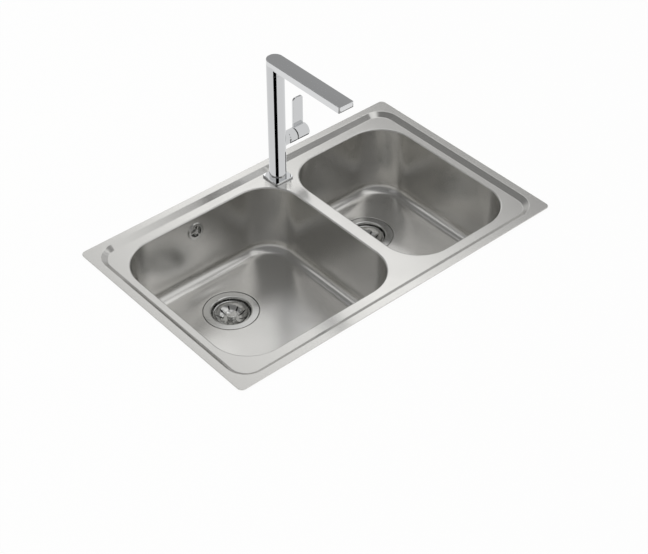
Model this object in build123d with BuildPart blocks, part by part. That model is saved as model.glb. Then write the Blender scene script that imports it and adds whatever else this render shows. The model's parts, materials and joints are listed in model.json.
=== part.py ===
"""Double bowl kitchen sink with its two basket wastes, overflow and single lever tap.

Frame: millimetres, +Z up, +X towards the smaller bowl, +Y towards the tap. The origin is
the centre of the rim's seating plane, so the rim rests on the worktop at z = 0 and the
deck, bowls and wastes hang below it.
"""

import os
from math import atan, cos, degrees, hypot, radians, sin, sqrt, tan

from build123d import *

# ---------------------------------------------------------------- driving dimensions, mm

# Sheet, rim and deck
sheet = 0.8                 # stainless sheet of deck and bowls
sink_length = 800.0         # along X
sink_depth = 500.0          # along Y
rim_corner = 11.0
rim_top = 2.0               # rim face above the worktop
lip_width = 1.2             # folded edge that stands on the worktop
rim_width = 16.5            # flat band from the edge to the step
step_run = 11.5             # step down from the rim to the deck, across
step_drop = 8.0             # and down
step_corner = 46.0          # corner radius at the top of the step
bend_radius = 2.5
seal_width = 8.0            # foam strip under the rim

# Bowls
main_width = 400.0          # opening of the main bowl along X
second_width = 284.0        # opening of the second bowl along X
bowl_margin = 50.0          # sink edge to the ends of both openings, along Y
divider_width = 30.0        # deck left between the two openings
bowl_corner = 82.0
mouth_roll = 3.0            # rounding from the deck into a bowl
wall_depth = 159.0          # deck to the edge of the bowl floor
bowl_draft = 2.4            # degrees
floor_fillet = 26.0
floor_band = 2.0            # flat strip between fillet and pitched floor
floor_pitch = 4.0           # fall of the floor to the waste
pad_thickness = 2.5         # sound-deadening pad under each floor
pad_margin = 22.0           # pad edge, in from the pitched floor's edge
pad_land = 1.5              # least pad left round its cut-out for the waste

# Wastes
drain_side = -12.0          # waste centre from the bowl centre, along X
drain_inset = 120.0         # waste centre from the openings' end by the tap
dish_radius = 60.0          # flat round the waste
recess_radius = 58.0        # pressed seat of the flange
recess_depth = 2.6
waste_hole = 45.0           # radius of the hole in the bowl floor
flange_radius = 56.5
flange_sheet = 1.2
lip_radius = 3.5            # rounding from the flange into the cup
cup_radius = 40.5           # inside of the strainer cup
cup_depth = 38.0            # below the seat
cup_ports = 6
cup_port_radius = 6.5
cup_port_circle = 21.0
gasket_thickness = 1.0
waste_seal_thickness = 3.0
waste_flange_radius = 55.0
waste_flange_thickness = 4.0
waste_wall = 3.0
waste_depth = 62.0          # plastic body below the seat
tail_radius = 23.9          # G 1 1/2 outlet thread
tail_length = 32.0
screw_radius = 3.0
screw_head_radius = 5.5
screw_head_height = 2.4
boss_radius = 7.0
boss_gap = 2.0              # under the strainer cup
screw_grip = 16.0           # depth of the boss's bore
screw_end_gap = 1.0         # under the screw's end, in the boss
screw_slot = 1.2
body_gap = 1.5              # round the strainer cup, inside the plastic body
inlet_drop = 22.0           # overflow inlet below the body's top
rib_thickness = 4.0
rib_height = 10.0           # ribs inside the outlet tail

# Baskets
basket_radius = 37.8
basket_sheet = 1.0
basket_lip = 2.4            # rolled rim, wide and high
basket_below = 6.5          # basket rim below the flange face
basket_bowl_depth = 15.0
basket_hub_radius = 14.0
basket_belly_radius = 27.3  # where the dish is fullest
basket_belly_rise = 3.6     # dish above its floor there
basket_slots = 10
basket_slot_width = 2.8
basket_slot_inner = 15.5
basket_slot_outer = 31.5
basket_turn = -9.0          # first slot from the X axis, degrees
stem_radius = 7.0
carrier_radius = 31.0
carrier_thickness = 2.0
basket_seal_radius = 34.0
basket_seal_bore = 11.0
basket_seal_thickness = 3.0
knob_radius = 11.8
knob_waist = 8.5
knob_height = 14.0
knob_round = 1.2
knob_dimple = 1.2

# Overflow of the main bowl
overflow_side = -3.0        # centre from the main bowl centre, along X
overflow_below = 33.0       # centre below the deck
overflow_hole = 14.5
rosette_radius = 19.0
rosette_thickness = 2.4
rosette_round = 1.5
rosette_ring = 6.0
rosette_spokes = 3
rosette_turn = 62.0         # first spoke from the X axis, degrees
spoke_width = 2.6
rosette_hub = 4.6
overflow_screw_radius = 2.0
overflow_screw_length = 18.0
overflow_head_height = 1.4
overflow_seal_thickness = 2.0
elbow_radius = 21.5
elbow_depth = 22.0
elbow_wall = 2.4
pipe_radius = 8.0
pipe_wall = 1.6
pipe_bend = 22.0
pipe_grip = 12.0            # pipe end inside its spigot
pipe_nut_radius = 13.5
pipe_nut_lip = 4.0
spigot_length = 16.0
spigot_wall = 2.2

# Worktop clips
clip_inset = 34.5           # clip centre from the sink edge
clip_rows_x = (-300.0, -30.0, 300.0)
clip_rows_y = (-110.0, 110.0)
bracket_width = 24.0
bracket_depth = 9.0
bracket_sheet = 1.5
bracket_end_gap = 1.0       # bracket's lower end above the screw's head
bracket_boss = 6.0          # height of the threaded boss
clip_screw_radius = 2.2
clip_screw_length = 42.0
clip_head_radius = 4.0
clip_head_height = 3.2
claw_reach = 30.5           # from the screw out under the worktop
claw_width = 14.0
claw_thickness = 4.5
claw_tip = 6.0
claw_tip_height = 7.0

# Tap
tap_side = -4.0             # tap from the middle of the divider, along X
tap_inset = 56.0            # tap from the sink's back edge
plate_size = 46.5
plate_corner = 4.0
plate_thickness = 4.2
plate_seal_thickness = 0.8
tap_hole = 17.5
column_radius = 18.0
column_bore = 14.6
column_top = 252.0          # seam under the spout
waterway = 8.5
shank_radius = 15.5
shank_bore = 11.5
shank_below = 46.0          # under the rim plane
shank_engaged = 11.0        # inside the column
washer_radius = 25.0
rubber_washer = 3.0
steel_washer = 2.0
nut_flats = 42.0
nut_height = 9.0
inlet_radius = 5.0
inlet_wall = 1.0
inlet_spread = 5.9
inlet_bend = 25.0
inlet_splay = 14.0          # each tail moves out by this below the shank
inlet_splay_drop = 45.0
inlet_below = 170.0
block_low = 60.0            # solid stretch of the column round the mixing chamber
block_high = 106.0
inlet_socket = 8.0

# Lever side of the tap
lever_z = 82.5
housing_radius = 14.0
housing_reach = 46.0        # column axis to the end of the housing
housing_chamfer = 2.4
housing_blend = 4.0
chamber_radius = 11.0
chamber_start = 20.0
cartridge_length = 20.0
cartridge_bore = 8.8
cartridge_floor = 4.0
cartridge_nut_length = 3.0
spindle_clearance = 0.5     # round the tilted spindle, in the cartridge nut
pivot_reach = 30.0          # tilt axis from the column axis
carrier_disc = 8.5
carrier_start = 27.0
carrier_length = 12.0
spindle_size = 5.0
spindle_start = 26.0
spindle_end = 61.0
pin_radius = 1.5
lever_tilt_range = 18.0     # degrees
seam_gap = 0.8
lever_end = 75.8
skirt_radius = 12.4
skirt_depth = 7.0
blade_start = 49.5
blade_end = 75.0
blade_front = 6.5           # blade face behind the lever axis
blade_thickness = 4.5
blade_top = 79.5            # above the lever axis
blade_inner_corner = 8.0
blade_outer_corner = 5.0
grub_radius = 2.0
grub_length = 9.0

# Spout
spout_reach = 211.0
spout_thickness = 14.0
collar_height = 17.0
spout_gap = 0.3
spout_nose = 4.0            # corner radius of the free end, in plan
spout_underside = 5.0       # rounding under the free end
spigot_radius = 12.5
spigot_bore = 8.0
spigot_drop = 20.0
spigot_end_gap = 2.0        # under the spigot, inside the column
bush_height = 10.0
ring_section = 0.9
ring_pitch = 3.2
channel_radius = 4.5
aerator_radius = 12.0
aerator_back = 16.0         # aerator centre from the free end
aerator_depth = 8.5
aerator_stand = 0.7
aerator_wall = 1.8
mesh_thickness = 1.2
jet_radius = 0.8
jet_pitch = 3.4

# Clearances
running = 0.1               # between a shaft, screw or seal and its bore
edge_round = 0.8            # rounding of the tap's sharp edges

# ------------------------------------------------------------------- derived places, mm

deck_top = rim_top - step_drop
deck_under = deck_top - sheet
step_slope = atan(step_drop / step_run)
end_margin = (sink_length - main_width - divider_width - second_width) / 2
main_x = -sink_length / 2 + end_margin + main_width / 2
second_x = sink_length / 2 - end_margin - second_width / 2
bowl_length = sink_depth - 2 * bowl_margin
drain_back = bowl_length / 2 - drain_inset
tap_x = main_x + (main_width + divider_width) / 2 + tap_side
tap_y = sink_depth / 2 - tap_inset
floor_edge = deck_top - wall_depth
floor_low = floor_edge - floor_pitch
seat = floor_low - recess_depth
flange_face = seat + gasket_thickness + flange_sheet
cup_floor = seat - cup_depth
waste_top = seat - sheet - waste_seal_thickness
waste_bottom = seat - waste_depth
tail_end = waste_bottom - tail_length
basket_rim = flange_face - basket_below
wall_lean = tan(radians(bowl_draft))
overflow_x = main_x + overflow_side
overflow_z = deck_top - overflow_below
overflow_y = bowl_length / 2 - overflow_below * wall_lean
plate_low = deck_top + plate_seal_thickness
plate_top = plate_low + plate_thickness
spout_low = column_top + collar_height
nose_y = tap_y - spout_reach
aerator_y = nose_y + aerator_back


def finish(part, name):
    """Name a finished piece and write it."""
    part.label = name
    export_step(part, f"parts/{name}.step")


def level(x, y, z):
    """Horizontal plane with its origin at a point."""
    return Plane(origin=(x, y, z), x_dir=(1, 0, 0), z_dir=(0, 0, 1))


def sunk(x, y, z):
    """Horizontal plane facing down, for forms that grow downwards."""
    return Plane(origin=(x, y, z), x_dir=(1, 0, 0), z_dir=(0, 0, -1))


def upright(x, y):
    """Vertical plane through a point: across is X, up is Z."""
    return Plane(origin=(x, y, 0), x_dir=(1, 0, 0), z_dir=(0, -1, 0))


def plumb(x, y):
    """Vertical axis through a point."""
    return Axis((x, y, 0), (0, 0, 1))


def sideways(reach):
    """Plane square to the lever axis, at a distance from the column axis."""
    return Plane(origin=(tap_x + reach, tap_y, lever_z), x_dir=(0, 1, 0), z_dir=(1, 0, 0))


def tube(plane, outer, inner, length):
    """Ring or tube that grows along its plane's normal, added to the open part."""
    with BuildSketch(plane) as section:
        Circle(outer)
        if inner > 0:
            Circle(inner, mode=Mode.SUBTRACT)
    extrude(section.sketch, amount=length)


def bore(plane, radius, length):
    """Round hole along the plane's normal, cut from the open part."""
    with BuildSketch(plane) as section:
        Circle(radius)
    extrude(section.sketch, amount=length, mode=Mode.SUBTRACT)


def turned(plane, axis, points):
    """Piece turned from a closed profile."""
    with BuildSketch(plane) as section:
        with BuildLine():
            Polyline(*points, close=True)
        make_face()
    revolve(section.sketch, axis=axis)


os.makedirs("parts", exist_ok=True)

# ------------------------------------------------------------------------ deck and bowls


def pan_form(drop, shift):
    """Frustum of the pressed step; shift moves its wall down for the outer skin."""
    start = rim_top - shift
    spread = (sheet / cos(step_slope) - shift) / tan(step_slope) if shift else 0.0
    length = sink_length - 2 * rim_width + 2 * spread
    depth = sink_depth - 2 * rim_width + 2 * spread
    with BuildPart() as form:
        with BuildSketch(sunk(0, 0, start)):
            RectangleRounded(length, depth, step_corner + spread)
        extrude(amount=drop, taper=90 - degrees(step_slope))
    return form.part


with BuildPart() as sink_deck:
    with BuildSketch(Plane.XY.offset(rim_top - sheet)):
        RectangleRounded(sink_length, sink_depth, rim_corner)
    extrude(amount=sheet)
    with BuildSketch(Plane.XY):
        RectangleRounded(sink_length, sink_depth, rim_corner)
        RectangleRounded(sink_length - 2 * lip_width, sink_depth - 2 * lip_width,
                         rim_corner - lip_width, mode=Mode.SUBTRACT)
    extrude(amount=rim_top)
    fillet(sink_deck.faces().sort_by(Axis.Z)[-1].outer_wire().edges(), sheet * 0.6)
    add(pan_form(step_drop + sheet / 2, sheet / 2))
    add(pan_form(step_drop, 0.0), mode=Mode.SUBTRACT)
    rim_face = sink_deck.faces().sort_by(Axis.Z)[-1]
    fillet(rim_face.inner_wires()[0].edges(), bend_radius)
    deck_face = sink_deck.faces().filter_by(Plane.XY).filter_by_position(
        Axis.Z, deck_top - sheet / 4, deck_top + sheet / 4)[0]
    fillet(deck_face.outer_wire().edges(), bend_radius)
    for bowl_x, bowl_width in ((main_x, main_width), (second_x, second_width)):
        with BuildSketch(sunk(bowl_x, 0, deck_top + sheet)):
            RectangleRounded(bowl_width + 2 * mouth_roll, bowl_length + 2 * mouth_roll,
                             bowl_corner + mouth_roll)
        extrude(amount=3 * sheet, mode=Mode.SUBTRACT)
    bore(sunk(tap_x, tap_y, deck_top + sheet), tap_hole, 3 * sheet)
finish(sink_deck.part, "sink_deck")

floor_setback = floor_fillet * tan(radians(90 - bowl_draft) / 2)
floor_shrink = 2 * (wall_depth * wall_lean + floor_setback + floor_band)
floor_corner = bowl_corner - floor_shrink / 2


def floor_form(bowl_x, bowl_width, below):
    """Pitched floor: a shallow loft from the floor's edge to the flat round the waste."""
    with BuildPart() as form:
        with BuildSketch(sunk(bowl_x, 0, floor_edge - below)):
            RectangleRounded(bowl_width - floor_shrink, bowl_length - floor_shrink, floor_corner)
        with BuildSketch(sunk(bowl_x + drain_side, drain_back, floor_low - below)):
            Circle(dish_radius)
        loft(ruled=True)
    return form.part


def bowl_form(bowl_x, bowl_width, grow):
    """Solid that fills a bowl: grow 0 is its inside, grow sheet its outside."""
    with BuildPart() as form:
        with BuildSketch(sunk(bowl_x, 0, deck_top)):
            RectangleRounded(bowl_width + 2 * grow, bowl_length + 2 * grow, bowl_corner + grow)
        extrude(amount=wall_depth + grow, taper=bowl_draft)
        fillet(form.faces().sort_by(Axis.Z)[0].edges(), floor_fillet + grow)
        add(floor_form(bowl_x, bowl_width, grow))
        tube(sunk(bowl_x + drain_side, drain_back, floor_low), recess_radius + grow, 0,
             recess_depth + grow)
    return form.part


def pressed_bowl(bowl_x, bowl_width, has_overflow):
    """Deep-drawn bowl with its rolled mouth and waste hole."""
    with BuildPart() as bowl:
        with BuildSketch(level(bowl_x, 0, deck_under)):
            RectangleRounded(bowl_width + 2 * mouth_roll, bowl_length + 2 * mouth_roll,
                             bowl_corner + mouth_roll)
        extrude(amount=sheet)
        add(bowl_form(bowl_x, bowl_width, sheet))
        under_face = bowl.faces().filter_by(Plane.XY).sort_by(Axis.Z)[-2]
        fillet(under_face.inner_wires()[0].edges(), mouth_roll - sheet)
        add(bowl_form(bowl_x, bowl_width, 0.0), mode=Mode.SUBTRACT)
        fillet(bowl.faces().sort_by(Axis.Z)[-1].inner_wires()[0].edges(), mouth_roll)
        bore(sunk(bowl_x + drain_side, drain_back, floor_low), waste_hole, 3 * recess_depth)
        if has_overflow:
            bore(Plane(origin=(overflow_x, overflow_y - waste_wall, overflow_z),
                       x_dir=(1, 0, 0), z_dir=(0, 1, 0)), overflow_hole, 3 * waste_wall)
    return bowl.part


main_bowl = pressed_bowl(main_x, main_width, True)
finish(main_bowl, "main_bowl")
second_bowl = pressed_bowl(second_x, second_width, False)
finish(second_bowl, "second_bowl")

with BuildPart() as rim_seal:
    seal_length = sink_length - 2 * (lip_width + running)
    seal_depth = sink_depth - 2 * (lip_width + running)
    with BuildSketch(Plane.XY):
        RectangleRounded(seal_length, seal_depth, rim_corner - lip_width)
        RectangleRounded(seal_length - 2 * seal_width, seal_depth - 2 * seal_width,
                         rim_corner - lip_width, mode=Mode.SUBTRACT)
    extrude(amount=rim_top - sheet)
finish(rim_seal.part, "rim_seal")


def deadening_pad(bowl_x, bowl_width):
    """Pad glued under the pitched floor, cut out round the waste."""
    pad_hole = dish_radius + pad_thickness
    with BuildPart() as pad:
        with BuildSketch(sunk(bowl_x, 0, floor_edge - sheet)):
            RectangleRounded(bowl_width - floor_shrink - 2 * pad_margin,
                             bowl_length - floor_shrink - 2 * pad_margin,
                             max(floor_corner - pad_margin, pad_thickness))
            with Locations((drain_side, -drain_back)):
                Circle(pad_hole + pad_land)
        extrude(amount=floor_pitch + pad_thickness)
        add(floor_form(bowl_x, bowl_width, sheet + pad_thickness), mode=Mode.INTERSECT)
        add(floor_form(bowl_x, bowl_width, sheet), mode=Mode.SUBTRACT)
        bore(sunk(bowl_x + drain_side, drain_back, floor_edge), pad_hole,
             floor_pitch + 2 * sheet + 2 * pad_thickness)
    return pad.part


finish(deadening_pad(main_x, main_width), "main_bowl_pad")
finish(deadening_pad(second_x, second_width), "second_bowl_pad")

# -------------------------------------------------------------------------------- wastes

cup_outer = cup_radius + flange_sheet
body_inner = cup_outer + body_gap
body_outer = body_inner + waste_wall
spigot_outer = pipe_radius + running + spigot_wall
inlet_z = waste_top - inlet_drop
inlet_end = drain_back + body_outer + spigot_length
boss_top = cup_floor - flange_sheet - boss_gap
carrier_low = cup_floor + basket_seal_thickness
carrier_top = carrier_low + carrier_thickness
basket_floor = basket_rim - basket_bowl_depth
basket_inner = basket_radius - basket_lip


def strainer_body(x, y):
    """Steel flange and cup that drop into the waste hole."""
    axis_hole = screw_radius + running
    lip_under = lip_radius - flange_sheet
    with BuildPart() as body:
        with BuildSketch(upright(x, y)) as section:
            with BuildLine():
                Polyline((cup_radius + lip_radius, seat + gasket_thickness),
                         (flange_radius, seat + gasket_thickness),
                         (flange_radius, flange_face - flange_sheet / 3),
                         (flange_radius - flange_sheet / 3, flange_face),
                         (cup_radius + lip_radius, flange_face))
                RadiusArc((cup_radius + lip_radius, flange_face),
                          (cup_radius, flange_face - lip_radius), -lip_radius)
                Polyline((cup_radius, flange_face - lip_radius), (cup_radius, cup_floor),
                         (axis_hole, cup_floor), (axis_hole, cup_floor - flange_sheet),
                         (cup_outer, cup_floor - flange_sheet),
                         (cup_outer, flange_face - lip_radius))
                RadiusArc((cup_outer, flange_face - lip_radius),
                          (cup_radius + lip_radius, seat + gasket_thickness), lip_under)
            make_face()
        revolve(section.sketch, axis=plumb(x, y))
        with BuildSketch(sunk(x, y, cup_floor)) as ports:
            with PolarLocations(cup_port_circle, cup_ports):
                Circle(cup_port_radius)
        extrude(ports.sketch, amount=flange_sheet, mode=Mode.SUBTRACT)
    return body.part


def waste_body(x, y, has_inlet):
    """Plastic waste body with its screw boss, outlet tail and, on one, overflow inlet."""
    tail_inner = tail_radius - waste_wall
    throat = waste_bottom + body_inner - tail_inner
    with BuildPart() as body:
        turned(upright(x, y), plumb(x, y), [
            (body_inner, waste_top),
            (waste_flange_radius, waste_top),
            (waste_flange_radius, waste_top - waste_flange_thickness),
            (body_outer, waste_top - waste_flange_thickness),
            (body_outer, throat - waste_wall),
            (tail_radius + waste_wall, waste_bottom - waste_wall),
            (tail_radius, waste_bottom - waste_wall),
            (tail_radius, tail_end),
            (tail_inner, tail_end),
            (tail_inner, waste_bottom),
            (body_inner, throat),
        ])
        if has_inlet:
            centre_line = Plane(origin=(overflow_x, y, inlet_z), x_dir=(1, 0, 0), z_dir=(0, 1, 0))
            tube(centre_line, spigot_outer, 0, inlet_end - y)
            bore(sunk(x, y, waste_top), body_inner, waste_top - throat)
            bore(centre_line.offset(body_inner / 2), pipe_radius - pipe_wall, inlet_end - y)
            bore(centre_line.offset(inlet_end - y), pipe_radius + running, -pipe_grip - running)
        with BuildSketch(sunk(x, y, waste_bottom)) as ribs:
            Rectangle(2 * tail_radius, rib_thickness)
            Rectangle(rib_thickness, 2 * tail_radius)
            Circle(tail_inner + waste_wall / 2, mode=Mode.INTERSECT)
        extrude(ribs.sketch, amount=rib_height)
        tube(sunk(x, y, boss_top), boss_radius, 0, boss_top - waste_bottom + rib_height)
        bore(sunk(x, y, boss_top), screw_radius + running, screw_grip)
    return body.part


def waste_screw(x, y):
    """Screw that clamps the strainer body to the plastic body."""
    with BuildPart() as screw:
        tube(level(x, y, cup_floor), screw_head_radius, 0, screw_head_height)
        tube(sunk(x, y, cup_floor), screw_radius, 0,
             cup_floor - boss_top + screw_grip - screw_end_gap)
        with BuildSketch(level(x, y, cup_floor + screw_head_height)) as slot:
            Rectangle(2 * screw_head_radius, screw_slot)
        extrude(slot.sketch, amount=-screw_head_height / 2, mode=Mode.SUBTRACT)
    return screw.part


def basket(x, y):
    """Dished strainer basket with radial slots, its stem and the seal carrier."""
    belly_z = basket_floor + basket_belly_rise
    rim_low = basket_rim - basket_lip
    with BuildPart() as dish:
        with BuildSketch(upright(x, y)) as section:
            with BuildLine():
                Polyline((0, basket_floor), (basket_hub_radius, basket_floor))
                ThreePointArc((basket_hub_radius, basket_floor), (basket_belly_radius, belly_z),
                              (basket_inner, basket_rim - basket_sheet))
                Polyline((basket_inner, basket_rim - basket_sheet), (basket_inner, basket_rim),
                         (basket_radius, basket_rim), (basket_radius, rim_low),
                         (basket_inner, rim_low))
                ThreePointArc((basket_inner, rim_low), (basket_belly_radius, belly_z - basket_sheet),
                              (basket_hub_radius, basket_floor - basket_sheet))
                Polyline((basket_hub_radius, basket_floor - basket_sheet),
                         (stem_radius, basket_floor - basket_sheet), (stem_radius, carrier_top),
                         (carrier_radius, carrier_top), (carrier_radius, carrier_low),
                         (0, carrier_low), (0, basket_floor))
            make_face()
        revolve(section.sketch, axis=plumb(x, y))
        slot_length = basket_slot_outer - basket_slot_inner
        with BuildSketch(sunk(x, y, basket_rim)) as slots:
            with PolarLocations((basket_slot_inner + basket_slot_outer) / 2, basket_slots, basket_turn):
                SlotOverall(slot_length, basket_slot_width)
        extrude(slots.sketch, amount=basket_bowl_depth + 2 * basket_sheet, mode=Mode.SUBTRACT)
    return dish.part


def basket_knob(x, y):
    """Waisted knob on the basket's hub, with a shallow dimple on top."""
    top = basket_floor + knob_height
    with BuildPart() as knob:
        with BuildSketch(upright(x, y)) as section:
            with BuildLine():
                Polyline((0, basket_floor), (knob_radius - knob_round, basket_floor))
                ThreePointArc((knob_radius - knob_round, basket_floor),
                              (knob_waist, basket_floor + knob_height / 3),
                              (knob_radius, top - 2 * knob_round))
                Polyline((knob_radius, top - 2 * knob_round), (knob_radius, top - knob_round),
                         (knob_radius - knob_round, top))
                TangentArc((0, top - knob_dimple), (knob_radius - knob_round, top), tangent=(1, 0))
                Line((0, top - knob_dimple), (0, basket_floor))
            make_face()
        revolve(section.sketch, axis=plumb(x, y))
    return knob.part


def ring(x, y, low, outer, inner, height):
    """Flat ring: a gasket, seal or washer."""
    with BuildPart() as band:
        tube(level(x, y, low), outer, inner, height)
    return band.part


for name, bowl_x, is_main in (("main", main_x, True), ("second", second_x, False)):
    x = bowl_x + drain_side
    y = drain_back
    finish(strainer_body(x, y), f"{name}_strainer_body")
    finish(ring(x, y, seat, flange_radius - running, waste_hole, gasket_thickness),
           f"{name}_flange_gasket")
    finish(ring(x, y, waste_top, waste_flange_radius - running, body_inner + waste_wall,
                waste_seal_thickness), f"{name}_waste_seal")
    finish(waste_body(x, y, is_main), f"{name}_waste_body")
    finish(waste_screw(x, y), f"{name}_waste_screw")
    finish(basket(x, y), f"{name}_basket")
    finish(basket_knob(x, y), f"{name}_basket_knob")
    finish(ring(x, y, cup_floor, basket_seal_radius, basket_seal_bore, basket_seal_thickness),
           f"{name}_basket_seal")

# ------------------------------------------------------------------------------ overflow

lean = radians(bowl_draft)
wall_face = Plane(origin=(overflow_x, overflow_y, overflow_z), x_dir=(1, 0, 0),
                  z_dir=(0, -cos(lean), sin(lean)))
elbow_face = wall_face.offset(-sheet - overflow_seal_thickness)
elbow_back = wall_face.offset(-sheet - overflow_seal_thickness - elbow_depth)
pipe_y = overflow_y + sheet + overflow_seal_thickness + elbow_depth / 2
outlet_z = overflow_z - elbow_radius - spigot_length

with BuildPart() as overflow_rosette:
    with BuildSketch(wall_face) as face:
        Circle(rosette_radius)
        Circle(rosette_radius - rosette_ring, mode=Mode.SUBTRACT)
        with PolarLocations(0, rosette_spokes, start_angle=rosette_turn):
            Rectangle(rosette_radius - rosette_ring / 2, spoke_width, align=(Align.MIN, Align.CENTER))
        Circle(rosette_hub)
        Circle(overflow_screw_radius + running, mode=Mode.SUBTRACT)
    extrude(face.sketch, amount=rosette_thickness)
    outer_circles = overflow_rosette.edges().filter_by(GeomType.CIRCLE).group_by(SortBy.RADIUS)[-1]
    fillet(outer_circles.sort_by(Axis.Y)[0], rosette_round)
finish(overflow_rosette.part, "overflow_rosette")

with BuildPart() as overflow_screw:
    tube(wall_face.offset(rosette_thickness), rosette_hub - edge_round, 0, overflow_head_height)
    tube(wall_face.offset(rosette_thickness), overflow_screw_radius, 0, -overflow_screw_length)
finish(overflow_screw.part, "overflow_screw")

with BuildPart() as overflow_seal:
    tube(wall_face.offset(-sheet), elbow_radius - running, overflow_hole, -overflow_seal_thickness)
finish(overflow_seal.part, "overflow_seal")

with BuildPart() as overflow_elbow:
    tube(elbow_face, elbow_radius, 0, -elbow_depth)
    tube(sunk(overflow_x, pipe_y, overflow_z), spigot_outer, 0, overflow_z - outlet_z)
    bore(elbow_face, elbow_radius - elbow_wall, elbow_wall - elbow_depth)
    bore(sunk(overflow_x, pipe_y, overflow_z), pipe_radius - pipe_wall, overflow_z - outlet_z)
    bore(level(overflow_x, pipe_y, outlet_z), pipe_radius + running, pipe_grip + running)
    tube(elbow_back, overflow_screw_radius + elbow_wall, 0, elbow_depth - elbow_wall)
    bore(elbow_face, overflow_screw_radius + running, elbow_wall - elbow_depth)
finish(overflow_elbow.part, "overflow_elbow")

with BuildPart() as overflow_pipe:
    pipe_start = (overflow_x, pipe_y, outlet_z + pipe_grip)
    with BuildLine() as route:
        FilletPolyline(pipe_start, (overflow_x, pipe_y, inlet_z),
                       (overflow_x, inlet_end - pipe_grip, inlet_z), radius=pipe_bend)
    with BuildSketch(sunk(*pipe_start)):
        Circle(pipe_radius)
        Circle(pipe_radius - pipe_wall, mode=Mode.SUBTRACT)
    sweep(path=route.line)
finish(overflow_pipe.part, "overflow_pipe")

with BuildPart() as overflow_pipe_nuts:
    for plane in (sunk(overflow_x, pipe_y, outlet_z),
                  Plane(origin=(overflow_x, inlet_end, inlet_z), x_dir=(1, 0, 0), z_dir=(0, 1, 0))):
        tube(plane.offset(-pipe_grip / 2), pipe_nut_radius, spigot_outer + running, pipe_grip / 2)
        tube(plane.offset(running), pipe_nut_radius, pipe_radius + running, pipe_nut_lip)
        tube(plane, pipe_nut_radius, spigot_outer + running, running)
finish(overflow_pipe_nuts.part, "overflow_pipe_nuts")

# ------------------------------------------------------------------------ worktop clips

clip_places = []
for x in clip_rows_x:
    clip_places.append(Location((x, sink_depth / 2 - clip_inset, deck_under), (0, 0, 90)))
    clip_places.append(Location((x, clip_inset - sink_depth / 2, deck_under), (0, 0, -90)))
for y in clip_rows_y:
    clip_places.append(Location((sink_length / 2 - clip_inset, y, deck_under), (0, 0, 0)))
    clip_places.append(Location((clip_inset - sink_length / 2, y, deck_under), (0, 0, 180)))
hanging = (Align.CENTER, Align.CENTER, Align.MAX)
bracket_height = clip_screw_length - bracket_end_gap

with BuildPart() as clip_brackets:
    with Locations(*clip_places):
        Box(bracket_depth, bracket_width, bracket_sheet, align=hanging)
        with Locations((-bracket_depth / 2, 0, 0)):
            Box(bracket_sheet, bracket_width, bracket_height, align=(Align.MIN, Align.CENTER, Align.MAX))
        Cylinder(bracket_depth / 2 - bracket_sheet / 2, bracket_sheet + bracket_boss, align=hanging)
        Cylinder(clip_screw_radius + running, bracket_sheet + bracket_boss, align=hanging,
                 mode=Mode.SUBTRACT)
finish(clip_brackets.part, "clip_brackets")

with BuildPart() as clip_screws:
    with Locations(*clip_places):
        with Locations((0, 0, -bracket_sheet)):
            Cylinder(clip_screw_radius, clip_screw_length - bracket_sheet, align=hanging)
        with Locations((0, 0, -clip_screw_length)):
            Cylinder(clip_head_radius, clip_head_height, align=hanging)
finish(clip_screws.part, "clip_screws")

with BuildPart() as clip_claws:
    claw_back = bracket_sheet + running - bracket_depth / 2
    with Locations(*clip_places):
        with Locations((claw_back, 0, -clip_screw_length)):
            Box(claw_reach - claw_back, claw_width, claw_thickness,
                align=(Align.MIN, Align.CENTER, Align.MIN))
        with Locations((claw_reach, 0, -clip_screw_length)):
            Box(claw_tip, claw_width, claw_thickness + claw_tip_height,
                align=(Align.MAX, Align.CENTER, Align.MIN))
        with Locations((0, 0, -clip_screw_length)):
            Cylinder(clip_screw_radius + running, claw_thickness, mode=Mode.SUBTRACT,
                     align=(Align.CENTER, Align.CENTER, Align.MIN))
finish(clip_claws.part, "clip_claws")

# --------------------------------------------------------------------------- tap, fixed

with BuildPart() as tap_base_plate:
    with BuildSketch(level(tap_x, tap_y, plate_low)):
        RectangleRounded(plate_size, plate_size, plate_corner)
        Circle(shank_radius + running, mode=Mode.SUBTRACT)
    extrude(amount=plate_thickness)
    chamfer(tap_base_plate.faces().sort_by(Axis.Z)[-1].outer_wire().edges(), edge_round)
finish(tap_base_plate.part, "tap_base_plate")

with BuildPart() as tap_base_seal:
    with BuildSketch(level(tap_x, tap_y, deck_top)):
        RectangleRounded(plate_size - 2 * edge_round, plate_size - 2 * edge_round, plate_corner)
        Circle(tap_hole, mode=Mode.SUBTRACT)
    extrude(amount=plate_seal_thickness)
finish(tap_base_seal.part, "tap_base_seal")

with BuildPart() as tap_column:
    tube(level(tap_x, tap_y, plate_top), column_radius, 0, column_top - plate_top)
    tube(sideways(0), housing_radius, 0, housing_reach)
    saddle = tap_column.edges().filter_by_position(
        Axis.X, tap_x + column_radius / 3, tap_x + column_radius)
    fillet(saddle.filter_by(GeomType.CIRCLE, reverse=True).filter_by(GeomType.LINE, reverse=True),
           housing_blend)
    chamfer(tap_column.faces().sort_by(Axis.X)[-1].edges(), housing_chamfer)
    bore(level(tap_x, tap_y, plate_top), shank_radius + running, shank_engaged + edge_round)
    bore(level(tap_x, tap_y, plate_top), column_bore, block_low - plate_top)
    bore(sunk(tap_x, tap_y, column_top), column_bore, spigot_drop + spigot_end_gap)
    bore(sunk(tap_x, tap_y, column_top), waterway, column_top - block_high)
    bore(sideways(chamber_start), chamber_radius, housing_reach - chamber_start)
    for side in (-1, 1):
        bore(level(tap_x + side * inlet_spread, tap_y, block_low), inlet_radius + running,
             inlet_socket)
finish(tap_column.part, "tap_column")

with BuildPart() as tap_shank:
    tube(level(tap_x, tap_y, -shank_below), shank_radius, shank_bore,
         shank_below + plate_top + shank_engaged)
finish(tap_shank.part, "tap_shank")

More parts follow.
